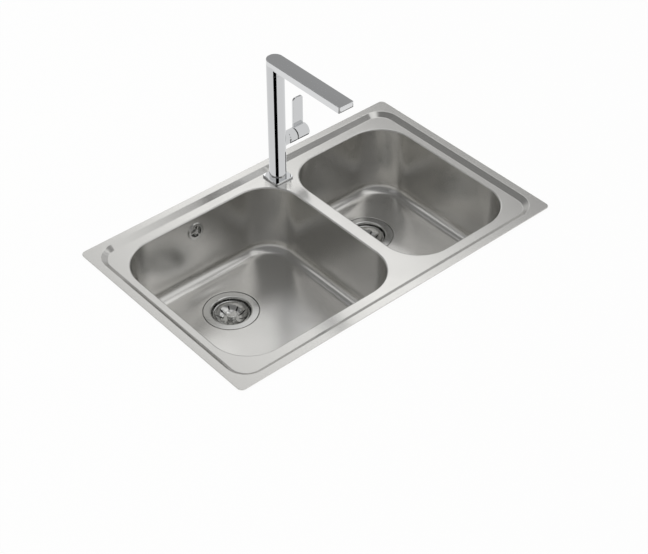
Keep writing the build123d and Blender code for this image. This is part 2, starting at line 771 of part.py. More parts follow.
finish(ring(tap_x, tap_y, deck_under - rubber_washer, washer_radius, shank_radius + running,
            rubber_washer), "tap_rubber_washer")
finish(ring(tap_x, tap_y, deck_under - rubber_washer - steel_washer, washer_radius,
            shank_radius + running, steel_washer), "tap_steel_washer")

with BuildPart() as tap_nut:
    with BuildSketch(sunk(tap_x, tap_y, deck_under - rubber_washer - steel_washer)):
        RegularPolygon(nut_flats / 2, 6, major_radius=False)
        Circle(shank_radius + running, mode=Mode.SUBTRACT)
    extrude(amount=nut_height)
finish(tap_nut.part, "tap_nut")

with BuildPart() as inlet_tails:
    for side in (-1, 1):
        near = tap_x + side * inlet_spread
        far = near + side * inlet_splay
        head = (near, tap_y, block_low + inlet_socket - running)
        splay_start = -shank_below - inlet_bend
        splay_end = splay_start - inlet_splay_drop
        with BuildLine() as route:
            FilletPolyline(head, (near, tap_y, splay_start), (far, tap_y, splay_end),
                           (far, tap_y, -inlet_below), radius=inlet_bend)
        with BuildSketch(sunk(*head)) as section:
            Circle(inlet_radius)
            Circle(inlet_radius - inlet_wall, mode=Mode.SUBTRACT)
        sweep(section.sketch, path=route.line)
finish(inlet_tails.part, "inlet_tails")

with BuildPart() as mixing_cartridge:
    tube(sideways(chamber_start), chamber_radius - running, 0, cartridge_length)
    bore(sideways(chamber_start + cartridge_floor), cartridge_bore, cartridge_length)
finish(mixing_cartridge.part, "mixing_cartridge")

tilt = radians(lever_tilt_range)
spindle_half = spindle_size / 2
nut_start = chamber_start + cartridge_length
spindle_swing = ((nut_start + cartridge_nut_length - pivot_reach) * tan(tilt)
                 + spindle_half / cos(tilt))

with BuildPart() as cartridge_nut:
    tube(sideways(nut_start), chamber_radius - running,
         hypot(spindle_swing, spindle_half) + spindle_clearance, cartridge_nut_length)
finish(cartridge_nut.part, "cartridge_nut")

# -------------------------------------------------------------------------- tap, lever

slot_low = ((carrier_start + carrier_length - pivot_reach) * tan(tilt)
            + spindle_half / cos(tilt) + 2 * running)
slot_high = (pivot_reach - spindle_start) * tan(tilt) + spindle_half / cos(tilt) + 2 * running
pivot_plane = Plane(origin=(tap_x + pivot_reach, tap_y, lever_z), x_dir=(1, 0, 0), z_dir=(0, 1, 0))
pin_length = 2 * sqrt(carrier_disc ** 2 - pin_radius ** 2) - 2 * running

with BuildPart() as lever_carrier:
    tube(sideways(carrier_start), carrier_disc, 0, carrier_length)
    with BuildSketch(sideways(carrier_start)) as slot:
        with Locations((0, -slot_low)):
            Rectangle(spindle_size + 2 * running, slot_low + slot_high, align=(Align.CENTER, Align.MIN))
    extrude(slot.sketch, amount=carrier_length, mode=Mode.SUBTRACT)
    bore(pivot_plane.offset(-carrier_disc), pin_radius + running, 2 * carrier_disc)
finish(lever_carrier.part, "lever_carrier")

with BuildPart() as lever_pin:
    tube(pivot_plane.offset(-pin_length / 2), pin_radius, 0, pin_length)
finish(lever_pin.part, "lever_pin")

with BuildPart() as lever_spindle:
    with BuildSketch(sideways(spindle_start)):
        Rectangle(spindle_size, spindle_size)
    extrude(amount=spindle_end - spindle_start)
    bore(pivot_plane.offset(-spindle_size), pin_radius + running, 2 * spindle_size)
finish(lever_spindle.part, "lever_spindle")

cap_start = housing_reach + seam_gap
grub_reach = (cap_start + skirt_depth + spindle_end) / 2

with BuildPart() as lever:
    tube(sideways(cap_start), housing_radius, 0, lever_end - cap_start)
    fillet(lever.faces().sort_by(Axis.X)[-1].edges(), edge_round)
    blade_plane = Plane(origin=(tap_x, tap_y + blade_front, lever_z), x_dir=(1, 0, 0), z_dir=(0, -1, 0))
    with BuildSketch(blade_plane) as outline:
        with Locations((blade_start, 0)):
            Rectangle(blade_end - blade_start, blade_top, align=(Align.MIN, Align.MIN))
        fillet(outline.vertices().group_by(Axis.Y)[-1].sort_by(Axis.X)[-1], blade_outer_corner)
        fillet(outline.vertices().group_by(Axis.X)[0].sort_by(Axis.Y)[-1], blade_inner_corner)
    extrude(outline.sketch, amount=-blade_thickness)
    bore(sideways(cap_start), skirt_radius, skirt_depth)
    with BuildSketch(sideways(cap_start)) as socket:
        Rectangle(spindle_size + 2 * running, spindle_size + 2 * running)
    extrude(socket.sketch, amount=spindle_end - cap_start + running, mode=Mode.SUBTRACT)
    bore(sunk(tap_x + grub_reach, tap_y, lever_z), grub_radius + running, 2 * housing_radius)
finish(lever.part, "lever")

with BuildPart() as lever_grub_screw:
    tube(sunk(tap_x + grub_reach, tap_y, lever_z - spindle_half), grub_radius, 0, grub_length)
finish(lever_grub_screw.part, "lever_grub_screw")

# --------------------------------------------------------------------------- tap, spout

spout_bottom = column_top + spout_gap
channel_z = spout_low + spout_thickness / 2

with BuildPart() as spout:
    with BuildSketch(level(tap_x, tap_y, spout_low)) as plan:
        Circle(column_radius)
        Rectangle(2 * column_radius, spout_reach, align=(Align.CENTER, Align.MAX))
        fillet(plan.vertices().group_by(Axis.Y)[0], spout_nose)
    extrude(plan.sketch, amount=spout_thickness)
    with BuildSketch(Plane(origin=(tap_x, nose_y, spout_low), x_dir=(0, 1, 0), z_dir=(1, 0, 0))) as side:
        Rectangle(spout_reach + column_radius, spout_thickness, align=(Align.MIN, Align.MIN))
        fillet(side.vertices().group_by(Axis.Y)[0].sort_by(Axis.X)[0], spout_underside)
    extrude(side.sketch, amount=column_radius, both=True, mode=Mode.INTERSECT)
    fillet(spout.faces().sort_by(Axis.Z)[-1].edges(), edge_round)
    tube(level(tap_x, tap_y, spout_bottom), column_radius, 0, spout_low - spout_bottom)
    tube(sunk(tap_x, tap_y, spout_low), spigot_radius, 0, spout_low - column_top + spigot_drop)
    bore(level(tap_x, tap_y, column_top - spigot_drop), spigot_bore,
         channel_z - column_top + spigot_drop)
    bore(Plane(origin=(tap_x, tap_y, channel_z), x_dir=(1, 0, 0), z_dir=(0, -1, 0)), channel_radius,
         spout_reach - aerator_back)
    bore(level(tap_x, aerator_y, spout_low), aerator_radius + running, aerator_depth)
finish(spout.part, "spout")

with BuildPart() as spout_bush:
    tube(sunk(tap_x, tap_y, column_top), column_bore - running, spigot_radius + running, bush_height)
finish(spout_bush.part, "spout_bush")

with BuildPart() as spout_rings:
    ring_circle = (column_bore + spigot_radius) / 2
    for place in (1, 2):
        with BuildSketch(upright(tap_x, tap_y)) as section:
            with Locations((ring_circle, column_top - bush_height - place * ring_pitch)):
                Circle(ring_section)
        revolve(section.sketch, axis=plumb(tap_x, tap_y))
finish(spout_rings.part, "spout_rings")

with BuildPart() as aerator_housing:
    tube(level(tap_x, aerator_y, spout_low - aerator_stand), aerator_radius,
         aerator_radius - aerator_wall, aerator_depth + aerator_stand - running)
finish(aerator_housing.part, "aerator_housing")

with BuildPart() as aerator_insert:
    insert_radius = aerator_radius - aerator_wall - running
    tube(level(tap_x, aerator_y, spout_low), insert_radius, 0, aerator_depth / 2)
    bore(level(tap_x, aerator_y, spout_low + mesh_thickness), insert_radius - mesh_thickness,
         aerator_depth)
    with BuildSketch(level(tap_x, aerator_y, spout_low)) as jets:
        for circle, count in ((jet_pitch, 6), (2 * jet_pitch, 12)):
            with PolarLocations(circle, count):
                Circle(jet_radius)
    extrude(jets.sketch, amount=mesh_thickness, mode=Mode.SUBTRACT)
finish(aerator_insert.part, "aerator_insert")
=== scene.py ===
"""Looks of an inset double bowl kitchen sink with its strainer wastes and side-lever tap."""

import json
import math

import bmesh
import bpy
from bpy.props import FloatProperty, FloatVectorProperty, IntProperty, PointerProperty
from mathutils import Matrix, Vector


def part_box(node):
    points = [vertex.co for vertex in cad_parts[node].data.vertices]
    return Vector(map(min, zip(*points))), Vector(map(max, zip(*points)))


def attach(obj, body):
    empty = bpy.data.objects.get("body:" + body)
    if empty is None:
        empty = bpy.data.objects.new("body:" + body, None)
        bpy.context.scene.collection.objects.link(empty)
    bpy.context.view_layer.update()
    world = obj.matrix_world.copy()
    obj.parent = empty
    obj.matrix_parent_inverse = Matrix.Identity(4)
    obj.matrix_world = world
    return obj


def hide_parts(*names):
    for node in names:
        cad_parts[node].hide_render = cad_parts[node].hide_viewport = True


bl_info = {
    "name": "Inset kitchen sink",
    "version": (1, 0, 0),
    "blender": (4, 5, 0),
    "location": "3D View > Sidebar > Sink",
    "description": "Builds the sheet, wastes, tap and studio of an inset kitchen sink",
    "category": "Object",
}

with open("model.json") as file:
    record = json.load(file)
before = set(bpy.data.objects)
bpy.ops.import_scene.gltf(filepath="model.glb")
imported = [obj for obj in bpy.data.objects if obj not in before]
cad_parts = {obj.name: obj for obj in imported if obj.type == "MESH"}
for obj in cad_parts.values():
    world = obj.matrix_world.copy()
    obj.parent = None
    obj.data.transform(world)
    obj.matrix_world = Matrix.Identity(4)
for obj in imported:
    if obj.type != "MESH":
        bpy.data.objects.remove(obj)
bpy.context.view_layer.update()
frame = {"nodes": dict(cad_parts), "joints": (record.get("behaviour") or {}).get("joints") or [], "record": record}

MM = 0.001
RIGHT = math.pi / 2
SHARP_ANGLE = math.radians(30)


def linear(code):
    """An sRGB hex colour as linear red, green, blue and alpha."""
    parts = [int(code[i:i + 2], 16) / 255 for i in (1, 3, 5)]
    return [c / 12.92 if c <= 0.04045 else ((c + 0.055) / 1.055) ** 2.4 for c in parts] + [1.0]


# ------------------------------------------------------------------- sizes and colours


def length(name, description, size):
    """A property for a length, with its default in millimetres."""
    return FloatProperty(name=name, description=description, default=size * MM, unit="LENGTH")


def angled(name, description, size):
    """A property for an angle, with its default in degrees."""
    return FloatProperty(name=name, description=description, default=math.radians(size),
                         subtype="ANGLE")


def tinted(name, description, code):
    """A property for a colour, with its default as an sRGB hex code."""
    return FloatVectorProperty(name=name, description=description, size=4, subtype="COLOR",
                               default=linear(code))


class SinkSheet(bpy.types.PropertyGroup):
    """Pressed stainless sheet of the deck and the bowls."""

    thickness: length("Sheet", "Thickness of the stainless sheet", 0.8)
    rim_width: length("Rim width", "Flat band outside the step", 16.5)
    step_run: length("Step run", "Step from rim to deck, across", 11.5)
    step_drop: length("Step drop", "Step from rim to deck, down", 8.0)
    rim_corner: length("Rim corner", "Corner radius of the rim", 11.0)
    step_corner: length("Step corner", "Corner radius of the step", 46.0)
    bend: length("Bend", "Radius of the step's two bends", 2.5)
    tap_land: length("Tap land", "Edge of the tap's seal to the hole under it", 5.0)
    bowl_corner: length("Bowl corner", "Corner radius of a bowl's mouth", 82.0)
    mouth_roll: length("Mouth roll", "Rounding from deck into bowl", 3.0)
    draft: angled("Draft", "Lean of the bowl walls", 2.4)
    wall_depth: length("Wall depth", "Deck to the edge of the floor", 159.0)
    floor_fillet: length("Floor fillet", "Radius from wall to floor", 26.0)
    floor_pitch: length("Floor pitch", "Fall of the floor to the waste", 4.0)
    waste_land: length("Waste land", "Floor round a flange, before it rises", 3.5)
    seat_drop: length("Seat drop", "Floor to the flange's seat", 2.6)
    seat_gap: length("Seat gap", "Flange to the wall of its seat", 1.5)
    seat_bend: length("Seat bend", "Radius of the seat's two bends", 1.0)
    waste_hole: length("Waste hole", "Radius of the hole under a flange", 45.0)
    overflow_hole: length("Overflow hole", "Radius of the hole behind the rosette", 14.5)
    colour: tinted("Steel", "Colour of the satin stainless", "#dcdbd8")
    grain: length("Grain", "Spacing of the brushed lines", 0.7)


class SinkWaste(bpy.types.PropertyGroup):
    """Strainer flange, cup, lift-out basket and its knob."""

    lip: length("Lip", "Rounding from the flange into the cup", 3.5)
    sheet: length("Strainer sheet", "Thickness of flange and cup", 1.2)
    cup: length("Cup", "Inside radius of the strainer cup", 40.5)
    cup_bend: length("Cup bend", "Radius at the foot of the cup", 1.2)
    screw_hole: length("Screw hole", "Radius of the hole for the waste's screw", 3.1)
    port_count: IntProperty(name="Ports", description="Holes in the cup's floor", default=6)
    port_radius: length("Port radius", "Radius of one port", 6.5)
    port_circle: length("Port circle", "Waste axis to a port's middle", 21.0)
    dish_sheet: length("Basket sheet", "Thickness of the basket", 1.0)
    dish_rim: length("Basket rim", "Rolled rim, wide and high", 2.4)
    dish_depth: length("Basket depth", "Rim to the basket's floor", 15.0)
    hub: length("Hub", "Radius of the basket's flat middle", 14.0)
    belly: length("Belly", "Radius where the dish is fullest", 27.3)
    belly_rise: length("Belly rise", "Dish above its floor there", 3.6)
    stem: length("Stem", "Radius of the stem under the basket", 7.0)
    carrier: length("Seal carrier", "Radius of the seal carrier", 31.0)
    carrier_sheet: length("Carrier", "Thickness of the seal carrier", 2.0)
    slot_count: IntProperty(name="Slots", description="Slots in the basket", default=10)
    slot_width: length("Slot width", "Width of one slot", 2.8)
    slot_inner: length("Slot start", "Waste axis to a slot's inner end", 15.5)
    slot_outer: length("Slot end", "Waste axis to a slot's outer end", 31.5)
    slot_turn: angled("Slot turn", "First slot from the X axis", -9)
    knob_waist: length("Knob waist", "Radius of the knob's waist", 8.5)
    knob_round: length("Knob round", "Rounding and dimple of the knob", 1.2)


class SinkTap(bpy.types.PropertyGroup):
    """Chromed mixer tap."""

    housing: length("Housing", "Radius of the lever's housing and cap", 14.0)
    chamfer: length("Housing chamfer", "Chamfer at the cap's seam", 2.4)
    blend: length("Blend", "Fillet from column to housing", 4.0)
    chamber: length("Chamber", "Radius of the cartridge's chamber", 11.0)
    chamber_depth: length("Chamber depth", "Chamber from the seam", 26.0)
    column_bore: length("Column bore", "Radius of the column's two bores", 14.6)
    bore_foot: length("Lower bore", "Depth of the bore in the column's foot", 12.0)
    bore_head: length("Upper bore", "Depth of the bore for the spout's spigot", 23.0)
    spigot: length("Spigot", "Radius of the spout's spigot", 12.5)
    bar: length("Spout bar", "Height of the flat spout", 14.0)
    nose: length("Nose corner", "Corner of the free end, in plan", 4.0)
    underside: length("Nose underside", "Rounding under the free end", 5.0)
    edge: length("Edges", "Rounding of the tap's edges", 0.8)
    bevel: length("Bevel", "Bevel at the tap's seams", 0.3)
    aerator_depth: length("Aerator depth", "Socket of the aerator", 8.5)
    skirt: length("Cap skirt", "Inside radius of the cap's skirt", 12.4)
    skirt_depth: length("Skirt depth", "Depth of the cap's skirt", 7.0)
    cap_gap: length("Cap gap", "Housing to the lever's cap", 0.8)
    blade_width: length("Blade width", "Width of the lever's blade", 25.5)
    blade_front: length("Blade front", "Blade behind the lever axis", 6.5)
    blade_sheet: length("Blade", "Thickness of the blade", 4.5)
    blade_corner: length("Blade corner", "Radius of the blade's outer corner", 5.0)
    blade_shoulder: length("Blade shoulder", "Radius of the corner by the column", 8.0)
    colour: tinted("Chrome", "Colour of the chrome plating", "#d6d7d8")


class SinkStage(bpy.types.PropertyGroup):
    """Floor, lights and camera."""

    floor_size: FloatProperty(name="Floor", description="Side of the square floor",
                              default=14.0, unit="LENGTH")
    floor_colour: tinted("Floor colour", "Matt white floor", "#fbfbfa")
    lens: FloatProperty(name="Lens", description="Focal length in millimetres", default=83.088)


# ------------------------------------------------------------------------ small helpers


def add(tree, kind, inputs=None, **settings):
    """Add a node, set its properties and fill its inputs with values or links."""
    made = tree.nodes.new(kind)
    for name, value in settings.items():
        setattr(made, name, value)
    for key, value in (inputs or {}).items():
        if isinstance(value, bpy.types.NodeSocket):
            tree.links.new(value, made.inputs[key])
        else:
            made.inputs[key].default_value = value
    return made


def new_material(name):
    """An empty material with its node tree and output."""
    made = bpy.data.materials.new(name)
    made.use_nodes = True
    made.node_tree.nodes.clear()
    return made, made.node_tree


def object_pattern(tree, spacing, **settings):
    """Noise on Object coordinates, with one spacing in metres for each axis."""
    place = add(tree, "ShaderNodeTexCoord")
    stretch = add(tree, "ShaderNodeMapping", {"Vector": place.outputs["Object"],
                                              "Scale": [1 / s for s in spacing]})
    return add(tree, "ShaderNodeTexNoise", {"Vector": stretch.outputs["Vector"], "Scale": 1.0,
                                            **settings})


def mesh_from(name, points, faces):
    """A mesh of points and faces, as they are."""
    mesh = bpy.data.meshes.new(name)
    mesh.from_pydata(points, [], faces)
    return mesh


def linked(name, mesh):
    """An object of a mesh at the origin of the scene."""
    made = bpy.data.objects.new(name, mesh)
    bpy.context.scene.collection.objects.link(made)
    return made


def plain(made):
    """Turn an object's modifiers into its mesh."""
    graph = bpy.context.evaluated_depsgraph_get()
    mesh = bpy.data.meshes.new_from_object(made.evaluated_get(graph))
    made.modifiers.clear()
    made.data = mesh
    return made


def fit(made, body, slot, *nodes, finish=None):
    """Shade a finished piece, give it the material of its slot or finish, put it under its body's empty and hide
    the nodes it replaces.

    Sharp edges stay crisp and wide flat faces flat.
    """
    made.data.shade_smooth()
    made.data.set_sharp_from_angle(angle=SHARP_ANGLE)
    flats = made.modifiers.new("flats", "WEIGHTED_NORMAL")
    flats.keep_sharp = True
    plain(made)
    made.data.materials.clear()
    made.data.materials.append(MATERIALS[finish or slot])
    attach(made, body)
    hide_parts(*nodes)


def thicken(made, thickness):
    """Give a skin a wall behind it, as a modifier."""
    wall = made.modifiers.new("sheet", "SOLIDIFY")
    wall.thickness = thickness
    wall.offset = -1


def drill(made, radius, depth, place, steps, turn=(0, 0, 0)):
    """Bore a round hole through an object, after its other modifiers."""
    bpy.ops.mesh.primitive_cylinder_add(vertices=steps, radius=radius, depth=depth,
                                        location=place, rotation=turn)
    cutter = bpy.context.object
    cut = made.modifiers.new("bore", "BOOLEAN")
    cut.object = cutter
    cut.operation = "DIFFERENCE"
    plain(made)
    bpy.data.objects.remove(cutter)


def fill_up(skin, edges, rings):
    """Triangles that face up, between some edges of a bmesh and further rings of points."""
    for ring in rings:
        verts = [skin.verts.new(p) for p in ring]
        edges += [skin.edges.new((verts[i], verts[(i + 1) % len(verts)]))
                  for i in range(len(verts))]
    made = bmesh.ops.triangle_fill(skin, edges=edges, use_beauty=True, use_dissolve=False)
    for face in made["geom"]:
        if isinstance(face, bmesh.types.BMFace):
            face.normal_update()
            if face.normal.z < 0:
                face.normal_flip()


def arc(centre, radius, start, end, steps):
    """Points of a profile's arc, as pairs of inset and height."""
    turns = [start + (end - start) * i / steps for i in range(steps + 1)]
    return [(centre[0] + radius * math.cos(t), centre[1] + radius * math.sin(t)) for t in turns]


CORNER_STEPS = 14
SIDE_STEPS = 18


def rounded_ring(centre, half_x, half_y, radius, z):
    """Points round a rectangle with rounded corners, counterclockwise from above."""
    points = []
    for quarter, (side_x, side_y) in enumerate(((1, 1), (-1, 1), (-1, -1), (1, -1))):
        middle = (centre[0] + side_x * (half_x - radius), centre[1] + side_y * (half_y - radius))
        for i in range(CORNER_STEPS + 1):
            turn = (quarter + i / CORNER_STEPS) * math.pi / 2
            points.append(Vector((middle[0] + radius * math.cos(turn),
                                  middle[1] + radius * math.sin(turn), z)))
    full = []
    for i, point in enumerate(points):
        full.append(point)
        if i % (CORNER_STEPS + 1) == CORNER_STEPS:
            after = points[(i + 1) % len(points)]
            full += [point.lerp(after, k / SIDE_STEPS) for k in range(1, SIDE_STEPS)]
    return full


def circle_ring(centre, radius, z, like):
    """A circle with one point for each point of another ring, at the same bearing."""
    points = []
    for other in like:
        turn = math.atan2(other.y - centre[1], other.x - centre[0])
        points.append(Vector((centre[0] + radius * math.cos(turn),
                              centre[1] + radius * math.sin(turn), z)))
    return points


def loft(rings):
    """Points and quads of a skin through rings of equal count."""
    count = len(rings[0])
    points = [p for ring in rings for p in ring]
    faces = []
    for row in range(len(rings) - 1):
        for i in range(count):
            j = (i + 1) % count
            faces.append((row * count + i, row * count + j,
                          (row + 1) * count + j, (row + 1) * count + i))
    return points, faces


TURN_STEPS = 128


def turned(profile, place, steps=TURN_STEPS):
    """Points and faces turned from (radius, height) pairs, with place as the axis's matrix."""
    points, faces, rows = [], [], []
    for radius, height in profile:
        if radius < 1e-7:
            rows.append([len(points)] * steps)
            points.append(place @ Vector((0, 0, height)))
            continue
        rows.append(list(range(len(points), len(points) + steps)))
        for i in range(steps):
            turn = 2 * math.pi * i / steps
            points.append(place @ Vector((radius * math.cos(turn), radius * math.sin(turn),
                                          height)))
    for low, high in zip(rows, rows[1:]):
        for i in range(steps):
            j = (i + 1) % steps
            face = list(dict.fromkeys((low[i], low[j], high[j], high[i])))
            if len(face) > 2:
                faces.append(face)
    return points, faces


def joined(name, *parts):
    """One mesh object of several lots of points and faces, with outward normals."""
    points, faces = [], []
    for some_points, some_faces in parts:
        start = len(points)
        points += some_points
        faces += [[start + i for i in face] for face in some_faces]
    mesh = mesh_from(name, points, faces)
    skin = bmesh.new()
    skin.from_mesh(mesh)
    bmesh.ops.remove_doubles(skin, verts=skin.verts, dist=1e-7)
    bmesh.ops.recalc_face_normals(skin, faces=skin.faces)
    skin.to_mesh(mesh)
    skin.free()
    return linked(name, mesh)


def upright(x, y, z=0.0):
    """Matrix of a vertical axis through a point."""
    return Matrix.Translation((x, y, z))


# ---------------------------------------------------------------------------- materials


def satin_stainless(name, props, along, low, high, brushed):
    """Stainless 18/10 sheet, brushed: bright metal whose fine lines blur what it mirrors."""
    made, tree = new_material(name)
    # Real brushed lines are about 0.1 mm apart; they are drawn coarser, so that they show.
    grain = object_pattern(tree, [s * props.grain for s in along], Detail=4.0, Roughness=0.6)
    cloud = object_pattern(tree, [90 * MM] * 3, Detail=3.0, Roughness=0.5)
    both = add(tree, "ShaderNodeMath", {0: grain.outputs["Fac"], 1: cloud.outputs["Fac"]},
               operation="ADD")
    rough = add(tree, "ShaderNodeMapRange", {"Value": both.outputs[0], "From Min": 0.6,
                                             "From Max": 1.4, "To Min": low, "To Max": high})
    bump = add(tree, "ShaderNodeBump", {"Height": grain.outputs["Fac"], "Strength": 0.05,
                                        "Distance": 0.02 * MM})
    shader = add(tree, "ShaderNodeBsdfPrincipled", {
        "Base Color": props.colour, "Metallic": 1.0, "Roughness": rough.outputs["Result"],
        "Normal": bump.outputs["Normal"]})
    if brushed:
        # Lines along X spread a highlight across them, along Y.
        across = add(tree, "ShaderNodeCombineXYZ", {"Y": 1.0})
        shader.inputs["Anisotropic"].default_value = 0.8
        tree.links.new(across.outputs["Vector"], shader.inputs["Tangent"])
    add(tree, "ShaderNodeOutputMaterial", {"Surface": shader.outputs["BSDF"]})
    return made


def bright_metal(name, colour, low, high, scale):
    """Polished or plated metal: roughness wanders a little over its surface."""
    made, tree = new_material(name)
    cloud = object_pattern(tree, [scale] * 3, Detail=3.0, Roughness=0.55)
    rough = add(tree, "ShaderNodeMapRange", {"Value": cloud.outputs["Fac"], "From Min": 0.3,
                                             "From Max": 0.7, "To Min": low, "To Max": high})
    shader = add(tree, "ShaderNodeBsdfPrincipled", {
        "Base Color": colour, "Metallic": 1.0, "Roughness": rough.outputs["Result"]})
    add(tree, "ShaderNodeOutputMaterial", {"Surface": shader.outputs["BSDF"]})
    return made


def dull_moulding(name, code, dark_code, roughness, ior, grit, depth):
    """Moulded plastic, rubber or foam: a dielectric with a fine uneven skin."""
    made, tree = new_material(name)
    skin = object_pattern(tree, [grit] * 3, Detail=4.0, Roughness=0.6)
    tone = add(tree, "ShaderNodeMix", {"Factor": skin.outputs["Fac"], 6: linear(dark_code),
                                       7: linear(code)}, data_type="RGBA")
    bump = add(tree, "ShaderNodeBump", {"Height": skin.outputs["Fac"], "Strength": 0.5,
                                        "Distance": depth})
    shader = add(tree, "ShaderNodeBsdfPrincipled", {
        "Base Color": tone.outputs[2], "Roughness": roughness, "IOR": ior,
        "Normal": bump.outputs["Normal"]})
    add(tree, "ShaderNodeOutputMaterial", {"Surface": shader.outputs["BSDF"]})
    return made


def all_materials():
    """The materials by the record's slot names, and one for the drawn bowls."""
    sheet, tap = bpy.context.scene.sink_sheet, bpy.context.scene.sink_tap
    return {
        # Brushed rim and deck: pale streaks along X, and mirror images drawn out across them.
        "stainless_sheet": satin_stainless("brushed_stainless", sheet, (60, 1, 1), 0.17, 0.23,
                                           True),
        # Deep-drawn bowls: the same steel without a grain, in which light pools softly.
        "drawn_sheet": satin_stainless("satin_stainless", sheet, (1, 1, 1), 0.2, 0.26, False),
        # Flanges, cups, baskets and rosette: clearer than the bowls, with bright rims.
        "polished_steel": bright_metal("polished_stainless", linear("#d0d0ce"), 0.12, 0.2,
                                       30 * MM),
        # Basket knobs: a little paler, so that they stand out from the dish.
        "steel_knob": bright_metal("turned_stainless", linear("#dadad8"), 0.12, 0.18, 12 * MM),
        # Tap: a clear mirror with hard black and white strips.
        "chrome": bright_metal("bright_chrome", tap.colour, 0.03, 0.05, 40 * MM),
        # Clips, washer and lever parts: dull blue-grey that goes patchy in the light.
        "zinc_steel": bright_metal("zinc_plated_steel", linear("#b9bbbd"), 0.34, 0.46, 6 * MM),
        # Shank and nuts: warm yellow metal with a soft machined shine.
        "brass": bright_metal("machined_brass", linear("#c9a35c"), 0.2, 0.3, 8 * MM),
        # Inlet tails: reddish metal, a little duller than the brass.
        "copper": bright_metal("drawn_copper", linear("#c9825f"), 0.22, 0.32, 14 * MM),
        # Strip under the rim: dark, dry and full of small pores.
        "foam": dull_moulding("closed_cell_foam", "#3c3c3d", "#2a2a2b", 0.9, 1.5,
                              1.2 * MM, 0.2 * MM),
        # Pads under the bowls: dark felt with a coarser, uneven skin.
        "bitumen_pad": dull_moulding("bitumen_felt", "#3a3a3a", "#262626", 0.85, 1.5,
                                     3.0 * MM, 0.3 * MM),
        # Seals and gaskets: near black with a weak, wide shine.
        "rubber": dull_moulding("epdm_rubber", "#222223", "#161617", 0.6, 1.52,
                                1.0 * MM, 0.04 * MM),
        # Waste bodies and overflow: slightly warm white with a soft moulded sheen.
        "white_plastic": dull_moulding("moulded_polypropylene", "#eeeeea", "#e6e6e2", 0.42,
                                       1.49, 1.5 * MM, 0.03 * MM),
        # Bush, aerator and cartridge: even cool grey with the same sheen.
        "grey_plastic": dull_moulding("moulded_acetal", "#8d9092", "#84878a", 0.38, 1.48,
                                      1.5 * MM, 0.03 * MM),
    }


# ----------------------------------------------------------------------------- the sheet

BOWLS = {"main": ("main_bowl", "main_strainer_body"),
         "second": ("second_bowl", "second_strainer_body")}


def middle(node):
    """Centre of a node's box."""
    low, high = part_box(node)
    return (low + high) / 2


def bowl_ring(key, inset, z, sheet):
    """Ring inside a bowl's mouth, by its inset from the mouth's outline."""
    low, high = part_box(BOWLS[key][0])
    centre = (low + high) / 2
    half = (high - low) / 2
    return rounded_ring(centre, half.x - sheet.mouth_roll - inset,
                        half.y - sheet.mouth_roll - inset, sheet.bowl_corner - inset, z)


def deck_level(sheet):
    """Height of the deck's upper face."""
    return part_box("sink_deck")[1].z - sheet.step_drop


# Rings of points this near a bend keep the flats beside it flat.
FLAT_START = 1 * MM


class SINK_OT_deck(bpy.types.Operator):
    """Make the rim, the pressed step and the deck round the two bowls and the tap hole"""

    bl_idname = "sink.deck"
    bl_label = "Rim and deck"

    def execute(self, context):
        sheet = context.scene.sink_sheet
        low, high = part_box("sink_deck")
        half = (high - low) / 2
        top = high.z
        deck = deck_level(sheet)
        slope = math.atan2(sheet.step_drop, sheet.step_run)
        reach = sheet.bend * math.tan(slope / 2)
        edge = sheet.thickness * 0.6
        inner = sheet.rim_width + sheet.step_run
        profile = [(0.0, 0.0), (0.0, top - edge)]
        profile += arc((edge, top - edge), edge, 2 * RIGHT, RIGHT, 5)[1:]
        profile += [(edge + FLAT_START / 2, top), (sheet.rim_width - reach - FLAT_START, top)]
        profile += arc((sheet.rim_width - reach, top - sheet.bend), sheet.bend,
                       RIGHT, RIGHT - slope, 6)
        profile += arc((inner + reach, deck + sheet.bend), sheet.bend,
                       3 * RIGHT - slope, 3 * RIGHT, 6)
        profile += [(inner + reach + FLAT_START, deck)]
        rings = []
        for inset, z in profile:
            near_edge = inset < sheet.rim_width / 2
            corner = sheet.rim_corner - inset if near_edge else (
                sheet.step_corner + sheet.rim_width - inset)
            rings.append(rounded_ring((0, 0), half.x - inset, half.y - inset, corner, z))
        points, faces = loft(rings)
        low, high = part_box("tap_base_seal")
        seal = Vector((low.x + high.x, low.y + high.y, 0)) / 2
        bearings = [seal + Vector((math.cos(k * math.pi / 24), math.sin(k * math.pi / 24), 0))
                    for k in range(48)]
        holes = [bowl_ring(key, -sheet.mouth_roll, deck, sheet) for key in BOWLS]
        holes.append(circle_ring(((low.x + high.x) / 2, middle("tap_column").y),
                                 (high.x - low.x) / 2 - sheet.tap_land, deck, bearings))
        mesh = mesh_from("deck_sheet", points, faces)
        skin = bmesh.new()
        skin.from_mesh(mesh)
        skin.verts.ensure_lookup_table()
        outline = skin.verts[-len(rings[-1]):]
        edges = [skin.edges.get((outline[i], outline[(i + 1) % len(outline)]))
                 for i in range(len(outline))]
        fill_up(skin, edges, holes)
        skin.to_mesh(mesh)
        skin.free()
        made = linked("deck_sheet", mesh)
        thicken(made, sheet.thickness)
        plain(made)
        fit(made, "sink", "stainless_sheet", "sink_deck")
        return {"FINISHED"}


# Rings from the edge of a bowl's floor to its waste.
FLOOR_RINGS = 24


